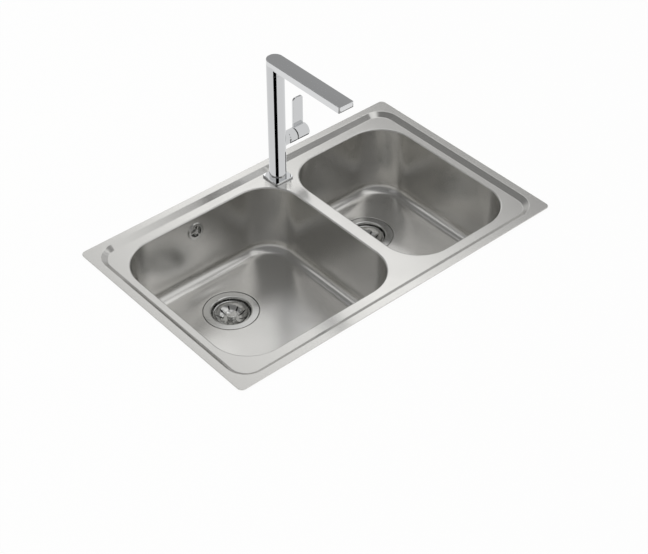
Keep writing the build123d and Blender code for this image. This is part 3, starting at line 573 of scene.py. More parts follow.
class SINK_OT_bowls(bpy.types.Operator):
    """Make the two deep-drawn bowls, with mouth roll, fillet, pitched floor and waste seat"""

    bl_idname = "sink.bowls"
    bl_label = "Bowls"

    def execute(self, context):
        sheet = context.scene.sink_sheet
        deck = deck_level(sheet)
        lean = sheet.draft
        roll = sheet.mouth_roll
        reach = roll * math.tan((RIGHT - lean) / 2)
        floor = deck - sheet.wall_depth
        foot = sheet.wall_depth * math.tan(lean)
        setback = sheet.floor_fillet * math.tan((RIGHT - lean) / 2)
        profile = [(-roll, deck)]
        profile += arc((-reach, deck - roll), roll, RIGHT, lean, 8)
        head = profile[-1]
        fillet = arc((foot + setback, floor + sheet.floor_fillet), sheet.floor_fillet,
                     2 * RIGHT + lean, 3 * RIGHT, 16)
        for share in (0.03, 0.2, 0.4, 0.6, 0.8, 0.97):
            profile.append((head[0] + (fillet[0][0] - head[0]) * share,
                            head[1] + (fillet[0][1] - head[1]) * share))
        profile += fillet
        for key, (node, waste) in BOWLS.items():
            rings = [bowl_ring(key, inset, z, sheet) for inset, z in profile]
            flange_low, flange_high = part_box(waste)
            drain = (flange_low + flange_high) / 2
            flange = (flange_high.x - flange_low.x) / 2
            low = floor - sheet.floor_pitch
            dish = circle_ring(drain, flange + sheet.waste_land, low, rings[-1])
            edge = rings[-1]
            for step in range(1, FLOOR_RINGS + 1):
                share = step / FLOOR_RINGS
                ease = share * share * (3 - 2 * share)
                ring = [a.lerp(b, share) for a, b in zip(edge, dish)]
                for point in ring:
                    point.z = floor - sheet.floor_pitch * ease
                rings.append(ring)
            bend = sheet.seat_bend
            seat = low - sheet.seat_drop
            wall = flange + sheet.seat_gap
            recess = arc((wall + bend, low - bend), -bend, -RIGHT, 0, 4)
            recess += arc((wall - bend, seat + bend), bend, 0, -RIGHT, 4)
            recess += [(flange - 2 * MM, seat), (sheet.waste_hole, seat)]
            rings += [circle_ring(drain, radius, z, dish) for radius, z in recess]
            name = f"{key}_bowl_sheet"
            made = linked(name, mesh_from(name, *loft(rings)))
            thicken(made, sheet.thickness)
            if key == "main":
                drill(made, sheet.overflow_hole, 16 * MM, middle("overflow_rosette"), 64,
                      (RIGHT, 0, 0))
            else:
                plain(made)
            fit(made, "sink", "stainless_sheet", node, finish="drawn_sheet")
        return {"FINISHED"}


# ---------------------------------------------------------------------------- the wastes


def ring_cut_tree():
    """Geometry nodes that cut a ring of equal slots or holes out of a turned piece."""
    tree = bpy.data.node_groups.new("ring_of_cuts", "GeometryNodeTree")
    sockets = {}
    for name, kind in (("Piece", "NodeSocketGeometry"), ("Count", "NodeSocketInt"),
                       ("Inner end", "NodeSocketFloat"), ("Outer end", "NodeSocketFloat"),
                       ("Width", "NodeSocketFloat"), ("First turn", "NodeSocketFloat"),
                       ("Middle", "NodeSocketVector"), ("Depth", "NodeSocketFloat"),
                       ("Finish", "NodeSocketMaterial")):
        sockets[name] = tree.interface.new_socket(name, in_out="INPUT", socket_type=kind)
    tree.interface.new_socket("Cut piece", in_out="OUTPUT", socket_type="NodeSocketGeometry")
    given = tree.nodes.new("NodeGroupInput").outputs
    half = add(tree, "ShaderNodeMath", {0: given["Width"], 1: 0.5}, operation="MULTIPLY")
    start, end = (add(tree, "ShaderNodeMath", {0: given[name], 1: half.outputs[0]},
                      operation=kind) for name, kind in (("Inner end", "ADD"),
                                                         ("Outer end", "SUBTRACT")))
    run, total = (add(tree, "ShaderNodeMath", {0: end.outputs[0], 1: start.outputs[0]},
                      operation=kind) for kind in ("SUBTRACT", "ADD"))
    centre = add(tree, "ShaderNodeMath", {0: total.outputs[0], 1: 0.5}, operation="MULTIPLY")
    # A slot is a block with a round end at either side, cut as three overlapping tools.
    block_size = add(tree, "ShaderNodeCombineXYZ", {"X": run.outputs[0], "Y": given["Width"],
                                                    "Z": given["Depth"]})
    block = add(tree, "GeometryNodeMeshCube", {"Size": block_size.outputs["Vector"]})
    block_place = add(tree, "ShaderNodeCombineXYZ", {"X": centre.outputs[0]})
    block = add(tree, "GeometryNodeTransform", {"Geometry": block.outputs["Mesh"],
                                                "Translation": block_place.outputs["Vector"]})
    ends = []
    for place in (start, end):
        where = add(tree, "ShaderNodeCombineXYZ", {"X": place.outputs[0]})
        pin = add(tree, "GeometryNodeMeshCylinder", {
            "Vertices": 24, "Radius": half.outputs[0], "Depth": given["Depth"]})
        ends.append(add(tree, "GeometryNodeTransform", {
            "Geometry": pin.outputs["Mesh"], "Translation": where.outputs["Vector"]}))
    tool = add(tree, "GeometryNodeMeshBoolean", operation="UNION", solver="EXACT")
    for part in (block, *ends):
        tree.links.new(part.outputs["Geometry"], tool.inputs["Mesh 2"])
    spots = add(tree, "GeometryNodePoints", {"Count": given["Count"]})
    index = add(tree, "GeometryNodeInputIndex")
    pitch = add(tree, "ShaderNodeMath", {0: 2 * math.pi, 1: given["Count"]}, operation="DIVIDE")
    turn = add(tree, "ShaderNodeMath", {0: index.outputs[0], 1: pitch.outputs[0],
                                        2: given["First turn"]}, operation="MULTIPLY_ADD")
    spin = add(tree, "ShaderNodeCombineXYZ", {"Z": turn.outputs[0]})
    tools = add(tree, "GeometryNodeInstanceOnPoints", {
        "Points": spots.outputs["Points"], "Instance": tool.outputs["Mesh"],
        "Rotation": spin.outputs["Vector"]})
    solid = add(tree, "GeometryNodeRealizeInstances", {"Geometry": tools.outputs["Instances"]})
    moved = add(tree, "GeometryNodeTransform", {"Geometry": solid.outputs["Geometry"],
                                                "Translation": given["Middle"]})
    cut = add(tree, "GeometryNodeMeshBoolean", {"Mesh 1": given["Piece"]},
              operation="DIFFERENCE", solver="EXACT")
    tree.links.new(moved.outputs["Geometry"], cut.inputs["Mesh 2"])
    whole = add(tree, "GeometryNodeRealizeInstances", {"Geometry": cut.outputs["Mesh"]})
    finish = add(tree, "GeometryNodeSetMaterial", {"Geometry": whole.outputs["Geometry"],
                                                   "Material": given["Finish"]})
    add(tree, "NodeGroupOutput", {"Cut piece": finish.outputs["Geometry"]})
    return tree, sockets


def cut_ring(made, tree, sockets, **values):
    """Cut a ring of slots out of an object, with the tree's inputs named as words."""
    cuts = made.modifiers.new("cuts", "NODES")
    cuts.node_group = tree
    for name, value in values.items():
        cuts[sockets[name.replace("_", " ").capitalize()].identifier] = value
    return plain(made)


class SINK_OT_wastes(bpy.types.Operator):
    """Turn the strainer flanges and cups, the slotted baskets and their knobs"""

    bl_idname = "sink.wastes"
    bl_label = "Wastes and baskets"

    def execute(self, context):
        waste = context.scene.sink_waste
        tree, sockets = ring_cut_tree()
        steel = MATERIALS["polished_steel"]
        for key in BOWLS:
            low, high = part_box(f"{key}_strainer_body")
            at = (low + high) / 2
            place = upright(at.x, at.y)
            flange = (high.x - low.x) / 2
            face, under = high.z, high.z - waste.sheet
            bend = waste.cup + waste.lip
            floor = low.z + waste.sheet
            turn_in = waste.cup_bend
            outer = waste.cup + waste.sheet
            small = waste.sheet * 0.4
            profile = [(bend, under), (flange, under), (flange, face - small)]
            profile += arc((flange - small, face - small), small, 0, RIGHT, 4)[1:]
            profile += arc((bend, face - waste.lip), waste.lip, RIGHT, 2 * RIGHT, 10)
            profile += arc((waste.cup - turn_in, floor + turn_in), turn_in, 0, -RIGHT, 4)
            profile += [(waste.screw_hole, floor), (waste.screw_hole, low.z),
                        (outer - turn_in, low.z), (outer, low.z + turn_in)]
            profile += arc((bend, face - waste.lip), waste.lip - waste.sheet, 2 * RIGHT, RIGHT, 8)
            body = joined(f"{key}_strainer", turned(profile, place))
            # A round port is a very short slot.
            cut_ring(body, tree, sockets, count=waste.port_count, width=2 * waste.port_radius,
                     inner_end=waste.port_circle - waste.port_radius - 0.01 * MM,
                     outer_end=waste.port_circle + waste.port_radius + 0.01 * MM,
                     first_turn=0.0, middle=(at.x, at.y, floor), depth=4 * waste.sheet,
                     finish=steel)
            fit(body, "sink", "polished_steel", f"{key}_strainer_body")

            low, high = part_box(f"{key}_basket")
            radius = (high.x - low.x) / 2
            rim = high.z
            base = rim - waste.dish_depth
            inner = radius - waste.dish_rim
            belly = self.bellied(waste, inner, rim - waste.dish_sheet, base, 0.0)
            under_belly = self.bellied(waste, inner, rim - waste.dish_rim, base,
                                       -waste.dish_sheet)
            roll = waste.dish_rim / 2 - 0.1 * MM
            profile = [(0, base), *belly, (inner, rim - roll / 2)]
            profile += arc((radius - roll, rim - roll), roll, RIGHT, 0, 6)
            profile += arc((radius - roll, rim - waste.dish_rim + roll), roll, 0, -RIGHT, 6)
            profile += [*reversed(under_belly), (waste.stem, base - waste.dish_sheet),
                        (waste.stem, low.z + waste.carrier_sheet),
                        (waste.carrier, low.z + waste.carrier_sheet), (waste.carrier, low.z),
                        (0, low.z)]
            dish = joined(f"{key}_basket_dish", turned(profile, place))
            cut_ring(dish, tree, sockets, count=waste.slot_count, width=waste.slot_width,
                     inner_end=waste.slot_inner, outer_end=waste.slot_outer,
                     first_turn=waste.slot_turn, depth=waste.dish_depth,
                     middle=(at.x, at.y, base + waste.dish_depth / 2 - 2 * waste.dish_sheet),
                     finish=steel)
            fit(dish, f"{key}_strainer", "polished_steel", f"{key}_basket")

            low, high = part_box(f"{key}_basket_knob")
            radius = (high.x - low.x) / 2
            tall = high.z - low.z
            small = waste.knob_round
            waist = [(waste.knob_waist + (radius - waste.knob_waist) * abs(t - 0.35) ** 1.7
                      / 0.65 ** 1.7, low.z + t * (tall - 2 * small))
                     for t in [i / 12 for i in range(13)]]
            profile = [(0, low.z), *waist, (radius, high.z - 2 * small)]
            profile += arc((radius - small, high.z - small), small, 0, RIGHT, 6)
            profile += [((radius - small) * t, high.z - small * (1 - t * t) ** 1.5)
                        for t in (0.97, 0.9, 0.8, 0.65, 0.45, 0.25, 0)]
            knob = joined(f"{key}_knob", turned(profile, place))
            fit(knob, f"{key}_strainer", "steel_knob", f"{key}_basket_knob")
        return {"FINISHED"}

    def bellied(self, waste, inner, top, base, drop):
        """Points of the dish's arc, through hub, belly and rim."""
        a = Vector((waste.hub, base + drop))
        b = Vector((waste.belly, base + waste.belly_rise + drop))
        c = Vector((inner, top))
        mid_ab, mid_bc = (a + b) / 2, (b + c) / 2
        ab, bc = b - a, c - b
        det = ab.x * bc.y - ab.y * bc.x
        k = (mid_ab.dot(ab) * bc.y - mid_bc.dot(bc) * ab.y) / det
        m = (ab.x * mid_bc.dot(bc) - bc.x * mid_ab.dot(ab)) / det
        start = math.atan2(a.y - m, a.x - k)
        end = math.atan2(c.y - m, c.x - k)
        return arc((k, m), (a - Vector((k, m))).length, start, end, 20)


# ------------------------------------------------------------------------------- the tap


def lever_axis():
    """A point on the lever's turning axis."""
    return next(Vector(j["pos_m"]) for j in frame["joints"] if j["name"] == "lever_turn")


class SINK_OT_tap(bpy.types.Operator):
    """Make the chromed column with its housing, the flat spout and the lever"""

    bl_idname = "sink.tap"
    bl_label = "Tap"

    def execute(self, context):
        tap = context.scene.sink_tap
        bevel = tap.bevel
        axis = lever_axis()
        low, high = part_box("tap_column")
        column = (high.y - low.y) / 2
        x, y = low.x + column, (low.y + high.y) / 2
        sideways = Matrix.Translation((x, y, axis.z)) @ Matrix.Rotation(RIGHT, 4, "Y")
        seam = high.x - x
        foot, head = low.z + tap.bore_foot, high.z - tap.bore_head
        post = [(0, foot), (tap.column_bore, foot), (tap.column_bore, low.z),
                (column - bevel, low.z), (column, low.z + bevel), (column, high.z - bevel),
                (column - bevel, high.z), (tap.column_bore, high.z), (tap.column_bore, head),
                (0, head)]
        sleeve = [(0, seam - tap.chamber_depth), (tap.chamber, seam - tap.chamber_depth),
                  (tap.chamber, seam), (tap.housing - tap.chamfer, seam),
                  (tap.housing, seam - tap.chamfer), (tap.housing, column + tap.blend)]
        saddle = self.saddle(tap, column, x, y, axis.z, column + tap.blend)
        made = joined("tap_body", turned(post, upright(x, y)), turned(sleeve, sideways), saddle)
        fit(made, "sink", "chrome", "tap_column")

        low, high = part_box("spout")
        bar_low = high.z - tap.bar
        collar_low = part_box("tap_column")[1].z + bevel
        collar = [(0, low.z), (tap.spigot, low.z), (tap.spigot, collar_low),
                  (column, collar_low), (column, bar_low + 1 * MM), (0, bar_low + 1 * MM)]
        made = joined("spout_bar", self.bar(tap, x, y, low.y, column, bar_low, high.z))
        socket_low, socket_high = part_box("aerator_housing")
        at = (socket_low + socket_high) / 2
        drill(made, (socket_high.x - socket_low.x) / 2 + 0.1 * MM, 2 * tap.aerator_depth,
              (at.x, at.y, bar_low), 96)
        fit(made, "spout", "chrome", "spout")
        fit(joined("spout_collar", turned(collar, upright(x, y))), "spout", "chrome")

        low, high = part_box("lever")
        cap_start = seam + tap.cap_gap
        cap_end = high.x - x
        cap = [(0, cap_start + tap.skirt_depth), (tap.skirt, cap_start + tap.skirt_depth),
               (tap.skirt, cap_start), (tap.housing - bevel, cap_start),
               (tap.housing, cap_start + bevel)]
        cap += arc((tap.housing - tap.edge, cap_end - tap.edge), tap.edge, 0, RIGHT, 5)
        cap += [(0, cap_end)]
        fit(joined("lever_cap", turned(cap, sideways)), "lever", "chrome", "lever")
        blade_end = cap_end - tap.edge
        blade_start = blade_end - tap.blade_width
        corner, shoulder = tap.blade_corner, tap.blade_shoulder
        outline = [(blade_end, 0.0)]
        outline += arc((blade_end - corner, high.z - axis.z - corner), corner, 0, RIGHT, 8)
        outline += arc((blade_start + shoulder, high.z - axis.z - shoulder), shoulder,
                       RIGHT, 2 * RIGHT, 10)
        outline += [(blade_start, 0.0)]
        front = [Vector((x + u, y + tap.blade_front, axis.z + v)) for u, v in outline]
        back = [p + Vector((0, tap.blade_sheet, 0)) for p in front]
        count = len(front)
        faces = [list(range(count)), list(range(2 * count - 1, count - 1, -1))]
        faces += [[i, (i + 1) % count, count + (i + 1) % count, count + i] for i in range(count)]
        made = joined("lever_blade", (front + back, faces))
        soft = made.modifiers.new("edges", "BEVEL")
        soft.width = 0.5 * MM
        soft.segments = 3
        soft.limit_method = "ANGLE"
        soft.angle_limit = math.radians(60)
        plain(made)
        fit(made, "lever", "chrome")
        return {"FINISHED"}

    def saddle(self, tap, column, x, y, z, end):
        """Fillet between column and housing: the path of a ball that touches both."""
        around, across = 128, 10
        out = tap.housing + tap.blend
        rows = []
        for i in range(around):
            turn = 2 * math.pi * i / around
            dy, dz = out * math.cos(turn), out * math.sin(turn)
            dx = math.sqrt((column + tap.blend) ** 2 - dy * dy)
            ball = Vector((dx, dy, dz))
            on_column = Vector((-dx, -dy, 0)).normalized() * tap.blend
            on_housing = Vector((0, -dy, -dz)).normalized() * tap.blend
            angle = on_column.angle(on_housing)
            row = []
            for k in range(across + 1):
                share = k / across
                a = math.sin((1 - share) * angle) / math.sin(angle)
                b = math.sin(share * angle) / math.sin(angle)
                row.append(ball + on_column * a + on_housing * b)
            row.append(Vector((end, row[-1].y, row[-1].z)))
            rows.append(row)
        count = len(rows[0])
        points = [Vector((x, y, z)) + p for row in rows for p in row]
        faces = []
        for i in range(around):
            j = (i + 1) % around
            for k in range(count - 1):
                faces.append([i * count + k, j * count + k, j * count + k + 1,
                              i * count + k + 1])
            faces.append([i * count, len(points), j * count])
        points.append(Vector((x, y, z)))
        return points, faces

    def bar(self, tap, x, y, nose_y, column, low, high):
        """Flat spout: sections from the round back end to the free end."""
        back = y + column
        stations = [back - column * (1 - math.cos(k * math.pi / 48)) for k in range(25)]
        stations += [y - 2 * MM, (y + nose_y) / 2, nose_y + tap.underside + 2 * MM]
        near = [tap.underside * math.cos(k * math.pi / 32) for k in range(17)]
        stations += [nose_y + step for step in near]
        rings = []
        for at in stations:
            if at > y:
                half = math.sqrt(max(column ** 2 - (at - y) ** 2, 0))
            elif at < nose_y + tap.nose:
                dy = nose_y + tap.nose - at
                half = column - tap.nose + math.sqrt(max(tap.nose ** 2 - dy * dy, 0))
            else:
                half = column
            bottom = low
            if at < nose_y + tap.underside:
                dy = nose_y + tap.underside - at
                bottom = low + tap.underside - math.sqrt(max(tap.underside ** 2 - dy * dy, 0))
            edge = min(tap.edge, half * 0.9)
            drop = 0.0
            reach = min(back - at, at - nose_y)
            if reach < tap.edge:
                drop = tap.edge - math.sqrt(tap.edge ** 2 - (tap.edge - reach) ** 2)
            half = max(half, 0.02 * MM)
            ring = [(-half, bottom), (half, bottom)]
            ring += arc((half - edge, high - drop - edge), edge, 0, math.pi / 2, 4)
            ring += arc((edge - half, high - drop - edge), edge, math.pi / 2, math.pi, 4)
            rings.append([Vector((x + u, at, v)) for u, v in ring])
        points, faces = loft(rings)
        count = len(rings[0])
        faces.append(list(range(count)))
        faces.append(list(range(len(points) - 1, len(points) - count - 1, -1)))
        return points, faces


# ------------------------------------------------------------------ carried-over nodes


def soften_tree():
    """Geometry nodes that weld a node's loose triangles and smooth its gentle edges."""
    tree = bpy.data.node_groups.new("soften_facets", "GeometryNodeTree")
    tree.interface.new_socket("Geometry", in_out="INPUT", socket_type="NodeSocketGeometry")
    tree.interface.new_socket("Geometry", in_out="OUTPUT", socket_type="NodeSocketGeometry")
    source = tree.nodes.new("NodeGroupInput")
    weld = add(tree, "GeometryNodeMergeByDistance", {"Geometry": source.outputs["Geometry"],
                                                     "Distance": 0.002 * MM})
    smooth = add(tree, "GeometryNodeSetShadeSmooth", {"Geometry": weld.outputs["Geometry"],
                                                      "Shade Smooth": True}, domain="FACE")
    angle = add(tree, "GeometryNodeInputMeshEdgeAngle")
    crisp = add(tree, "FunctionNodeCompare", {"A": angle.outputs["Unsigned Angle"],
                                              "B": SHARP_ANGLE}, operation="GREATER_THAN")
    edges = add(tree, "GeometryNodeSetShadeSmooth", {
        "Geometry": smooth.outputs["Geometry"], "Selection": crisp.outputs["Result"],
        "Shade Smooth": False}, domain="EDGE")
    add(tree, "NodeGroupOutput", {"Geometry": edges.outputs["Geometry"]})
    return tree


class SINK_OT_fittings(bpy.types.Operator):
    """Finish the solid nodes that keep their own shape: wastes, overflow, clips and tap"""

    bl_idname = "sink.fittings"
    bl_label = "Fittings"

    def execute(self, context):
        soften = soften_tree()
        slots = {s["node"]: s["material_slot"] for s in frame["record"]["subparts"]}
        for name, node in frame["nodes"].items():
            node.data.materials.clear()
            node.data.materials.append(MATERIALS[slots[name]])
            if not node.hide_render:
                node.modifiers.new("soften", "NODES").node_group = soften
        return {"FINISHED"}


# --------------------------------------------------------------------------------- stage


# Brightness of the softbox behind the sink, by its lean to the right: x over z.
BANK_LEVELS = ((0.2, 0.35), (0.45, 0.55), (0.6, 0.81), (0.67, 0.9), (0.74, 1.05), (0.78, 1.6),
               (0.805, 1.98), (0.83, 1.5), (0.87, 0.84), (0.93, 0.38), (0.97, 0.38),
               (1.02, 0.42), (1.1, 0.26), (1.5, 0.35))
BANK_FOOT, FOOT_LEVEL = 0.55, 0.55  # the z under which it turns into one level, and that level
# Soft edges: a direction, and where along it the light starts and where it is full.
BANK_EDGES = (((0, 1, 0), 0.1, 0.3), ((1, 0, 0), 0.0, 0.2), ((0, 0, 1), 0.86, 0.76))
# The other softboxes, each by its brightness and edges.
SOFTBOXES = (
    # Right of the camera, with a flag in its middle that keeps the pressed step dark.
    (0.85, (((0.59, -0.34, 0.73), 0.72, 0.9), ((0.59, -0.34, 0.73), 0.989, 0.975))),
    # Small, behind on the left: the bowls' floors mirror it by way of their right walls.
    (0.9, (((-0.51, 0.51, 0.69), 0.984, 0.993),)),
    # Overhead, ending at the tap's side.
    (1.0, (((0, 0, 1), 0.8, 0.9), ((1, 0, 0), -0.2, 0.15))),
    # All round at the horizon.
    (0.55, (((0, 0, 1), 0.54, 0.4),)),
)
GAP_LEVEL = 0.22  # the dark between the softboxes
CARD_LEVEL = 0.85
CARD_REACH = 60 * MM  # how far from a card the metal still mirrors it

CAMERA_PLACE = (-1507.5 * MM, -1740.2 * MM, 1873.4 * MM)
CAMERA_TURN = math.radians(-41.1178)
CAMERA_TILT = math.radians(40.9355)
LAMP_PLACE = (-0.9, 0.9, 2.2)
LAMP_SIZE = (1.6, 1.0)
LAMP_POWER = 4


def studio():
    """White world for the camera; metal mirrors its softboxes and the darker gaps between."""
    world = bpy.data.worlds.new("studio")
    world.use_nodes = True
    world.cycles.sampling_method = "NONE"
    tree = world.node_tree
    tree.nodes.clear()
    facing = add(tree, "ShaderNodeTexCoord").outputs["Generated"]
    x, _, z = add(tree, "ShaderNodeSeparateXYZ", {"Vector": facing}).outputs
    # The softbox behind the sink is brightest along its middle; the flat sheet mirrors it.
    high = add(tree, "ShaderNodeMath", {0: z, 1: BANK_FOOT}, operation="MAXIMUM")
    lean = add(tree, "ShaderNodeMath", {0: x, 1: high.outputs[0]}, operation="DIVIDE")
    first, last = BANK_LEVELS[0][0], BANK_LEVELS[-1][0]
    spread = add(tree, "ShaderNodeMapRange", {"Value": lean.outputs[0], "From Min": first,
                                              "From Max": last})
    ramp = add(tree, "ShaderNodeValToRGB", {"Fac": spread.outputs["Result"]})
    stops = ramp.color_ramp.elements
    while len(stops) < len(BANK_LEVELS):
        stops.new(0.5)
    for stop, (place, level) in zip(stops, BANK_LEVELS):
        stop.position = (place - first) / (last - first)
        stop.color = (level, level, level, 1)
    foot = add(tree, "ShaderNodeMapRange", {"Value": z, "From Min": BANK_FOOT - 0.2,
                                            "From Max": BANK_FOOT},
               interpolation_type="SMOOTHSTEP")
    bank = add(tree, "ShaderNodeMix", {"Factor": foot.outputs["Result"], 2: FOOT_LEVEL,
                                       3: ramp.outputs["Color"]}).outputs[0]
    level = GAP_LEVEL
    for light, edges in ((bank, BANK_EDGES), *SOFTBOXES):
        for along, start, end in edges:
            reach = add(tree, "ShaderNodeVectorMath", {0: facing, 1: along},
                        operation="DOT_PRODUCT")
            edge = add(tree, "ShaderNodeMapRange", {
                "Value": reach.outputs["Value"], "From Min": start, "From Max": end},
                interpolation_type="SMOOTHSTEP")
            light = add(tree, "ShaderNodeMath", {0: light, 1: edge.outputs["Result"]},
                        operation="MULTIPLY").outputs[0]
        level = add(tree, "ShaderNodeMath", {0: level, 1: light},
                    operation="MAXIMUM").outputs[0]

    rays = add(tree, "ShaderNodeLightPath")
    glossy = add(tree, "ShaderNodeMix", {"Factor": rays.outputs["Is Glossy Ray"], 2: 0.9,
                                         3: level}).outputs[0]
    seen = add(tree, "ShaderNodeMath", {0: rays.outputs["Is Camera Ray"],
                                        1: rays.outputs["Is Transmission Ray"]},
               operation="MAXIMUM")
    shown = add(tree, "ShaderNodeMix", {"Factor": seen.outputs[0], 2: glossy, 3: 1.0}).outputs[0]
    sky = add(tree, "ShaderNodeBackground", {"Color": (1, 1, 1, 1), "Strength": shown})
    add(tree, "ShaderNodeOutputWorld", {"Surface": sky.outputs["Background"]})
    return world


def curled(place, radius, start, end):
    """Points and faces of a card curled round an axis, facing in, one face to a degree."""
    points, faces = [], []
    for i in range(360):
        turn = math.radians(i)
        for height in (start, end):
            points.append(place @ Vector((radius * math.cos(turn), radius * math.sin(turn),
                                          height)))
        j = (i + 1) % 360
        faces.append((2 * i, 2 * i + 1, 2 * j + 1, 2 * j))
    return points, faces


def reflector(name, points, faces, flags):
    """White card close to a chromed part, seen only in its mirror image, from the front.

    flags are the dark strips on it, as pairs of face numbers.
    """
    card = linked(name, mesh_from(name, points, faces))
    for dark in (False, True):
        made, tree = new_material(f"{name}_{'flag' if dark else 'card'}")
        level = 0.0 if dark else CARD_LEVEL
        glow = add(tree, "ShaderNodeEmission", {"Color": (level, level, level, 1)})
        clear = add(tree, "ShaderNodeBsdfTransparent")
        back = add(tree, "ShaderNodeNewGeometry")
        # A mirror image from farther off, as in the bowls, goes through the card.
        rays = add(tree, "ShaderNodeLightPath")
        far = add(tree, "ShaderNodeMath", {0: rays.outputs["Ray Length"], 1: CARD_REACH},
                  operation="GREATER_THAN")
        gone = add(tree, "ShaderNodeMath", {0: back.outputs["Backfacing"],
                                            1: far.outputs[0]}, operation="MAXIMUM")
        both = add(tree, "ShaderNodeMixShader", {0: gone.outputs[0],
                                                 1: glow.outputs["Emission"],
                                                 2: clear.outputs["BSDF"]})
        add(tree, "ShaderNodeOutputMaterial", {"Surface": both.outputs["Shader"]})
        card.data.materials.append(made)
    for face in card.data.polygons:
        if any(low <= face.index < high for low, high in flags):
            face.material_index = 1
    for ray in ("camera", "diffuse", "transmission", "volume_scatter", "shadow"):
        setattr(card, f"visible_{ray}", False)


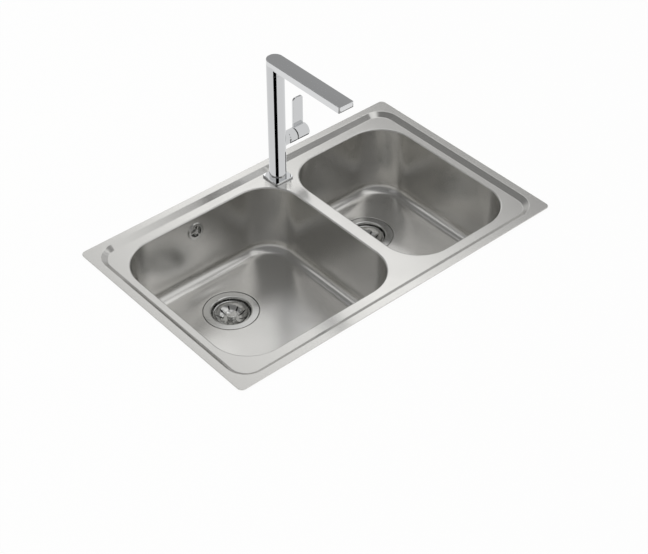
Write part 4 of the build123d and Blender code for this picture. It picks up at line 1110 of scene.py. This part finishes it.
class SINK_OT_stage(bpy.types.Operator):
    """Make the white floor with its cut-out, the studio lights and the camera"""

    bl_idname = "sink.stage"
    bl_label = "Stage"

    def execute(self, context):
        scene = context.scene
        look = scene.sink_stage
        far = look.floor_size / 2
        low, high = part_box("sink_deck")
        # The cut-out in the floor ends under the rim, and shows the bowls from below.
        inset, level = 12 * MM, -0.3 * MM
        rim = rounded_ring((0, 0), high.x - inset, high.y - inset, 20 * MM, level)
        corners = [Vector((x, y, level)) for x, y in ((-far, -far), (far, -far), (far, far),
                                                      (-far, far))]
        skin = bmesh.new()
        fill_up(skin, [], (rim, corners))
        mesh = bpy.data.meshes.new("floor")
        skin.to_mesh(mesh)
        skin.free()
        floor = linked("floor", mesh)
        made, tree = new_material("matt_white_floor")
        # The camera and the metal see it nearly pure white, with a trace of the shadow left.
        rays = add(tree, "ShaderNodeLightPath")
        seen = add(tree, "ShaderNodeMath", {0: rays.outputs["Is Camera Ray"],
                                            1: rays.outputs["Is Glossy Ray"]}, operation="MAXIMUM")
        share = add(tree, "ShaderNodeMath", {0: seen.outputs[0], 1: 0.85}, operation="MULTIPLY")
        matt = add(tree, "ShaderNodeBsdfDiffuse", {"Color": look.floor_colour})
        white = add(tree, "ShaderNodeEmission", {"Color": (1, 1, 1, 1)})
        both = add(tree, "ShaderNodeMixShader", {0: share.outputs[0], 1: matt.outputs["BSDF"],
                                                 2: white.outputs["Emission"]})
        add(tree, "ShaderNodeOutputMaterial", {"Surface": both.outputs["Shader"]})
        mesh.materials.append(made)

        scene.world = studio()
        low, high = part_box("tap_column")
        radius = (high.y - low.y) / 2
        x, y = low.x + radius, (low.y + high.y) / 2
        axis = lever_axis()
        left_flag, right_flag = (211, 239), (318, 338)
        shoulder = axis.z - 30 * MM
        reflector("column_card", *curled(upright(x, y), 1.5 * radius, 1 * MM, shoulder),
                  (left_flag, right_flag))
        reflector("shoulder_card", *curled(upright(x, y), 1.5 * radius, shoulder,
                                           high.z + 12 * MM), (left_flag,))
        sideways = Matrix.Translation((x, y, axis.z)) @ Matrix.Rotation(RIGHT, 4, "Y")
        low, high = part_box("lever")
        reflector("lever_card", *curled(sideways, 20 * MM, low.x - x - 16 * MM,
                                        high.x - x + 6 * MM), ((312, 357),))
        front = y - 1 * MM
        reflector("blade_card", [Vector((u, front, v)) for u, v in (
            (low.x, axis.z + 8 * MM), (low.x, high.z + 3 * MM), (high.x + 8 * MM, high.z + 3 * MM),
            (high.x + 8 * MM, axis.z + 8 * MM))], [(0, 1, 2, 3)], ())

        data = bpy.data.lights.new("key", "AREA")
        data.shape = "RECTANGLE"
        data.size, data.size_y = LAMP_SIZE
        data.energy = LAMP_POWER
        lamp = bpy.data.objects.new("key", data)
        # It throws the shadow alone: the metal's mirror image comes from the world.
        lamp.visible_glossy = False
        lamp.location = LAMP_PLACE
        lamp.rotation_mode = "QUATERNION"
        lamp.rotation_quaternion = (-Vector(LAMP_PLACE)).to_track_quat("-Z", "Y")
        scene.collection.objects.link(lamp)

        data = bpy.data.cameras.new("camera")
        data.lens = look.lens
        data.sensor_width = 36
        camera = bpy.data.objects.new("camera", data)
        back = Vector((math.sin(CAMERA_TURN) * math.cos(CAMERA_TILT),
                       -math.cos(CAMERA_TURN) * math.cos(CAMERA_TILT), math.sin(CAMERA_TILT)))
        camera.location = CAMERA_PLACE
        camera.rotation_mode = "QUATERNION"
        camera.rotation_quaternion = (-back).to_track_quat("-Z", "Y")
        scene.collection.objects.link(camera)
        scene.camera = camera
        scene.view_settings.view_transform = "Standard"
        return {"FINISHED"}


class SINK_PT_panel(bpy.types.Panel):
    """Lists the sink's pieces in the sidebar"""

    bl_label = "Inset sink"
    bl_idname = "SINK_PT_panel"
    bl_space_type = "VIEW_3D"
    bl_region_type = "UI"
    bl_category = "Sink"

    def draw(self, context):
        for maker in MAKERS:
            self.layout.operator(maker.bl_idname)
        for key in GROUPS:
            group = getattr(context.scene, key)
            box = self.layout.box()
            for name in group.__annotations__:
                box.prop(group, name)


MAKERS = (SINK_OT_deck, SINK_OT_bowls, SINK_OT_wastes, SINK_OT_tap, SINK_OT_fittings,
          SINK_OT_stage)
GROUPS = {"sink_sheet": SinkSheet, "sink_waste": SinkWaste, "sink_tap": SinkTap,
          "sink_stage": SinkStage}
MATERIALS = {}


def register():
    """Register the property groups, operators and panel."""
    for name, group in GROUPS.items():
        bpy.utils.register_class(group)
        setattr(bpy.types.Scene, name, PointerProperty(type=group))
    for maker in (*MAKERS, SINK_PT_panel):
        bpy.utils.register_class(maker)


def unregister():
    """Take them out again."""
    for maker in reversed((*MAKERS, SINK_PT_panel)):
        bpy.utils.unregister_class(maker)
    for name, group in GROUPS.items():
        delattr(bpy.types.Scene, name)
        bpy.utils.unregister_class(group)


def main():
    """Build every piece and the stage."""
    register()
    MATERIALS.update(all_materials())
    bpy.ops.sink.deck()
    bpy.ops.sink.bowls()
    bpy.ops.sink.wastes()
    bpy.ops.sink.tap()
    bpy.ops.sink.fittings()
    bpy.ops.sink.stage()


if __name__ == "__main__":
    main()
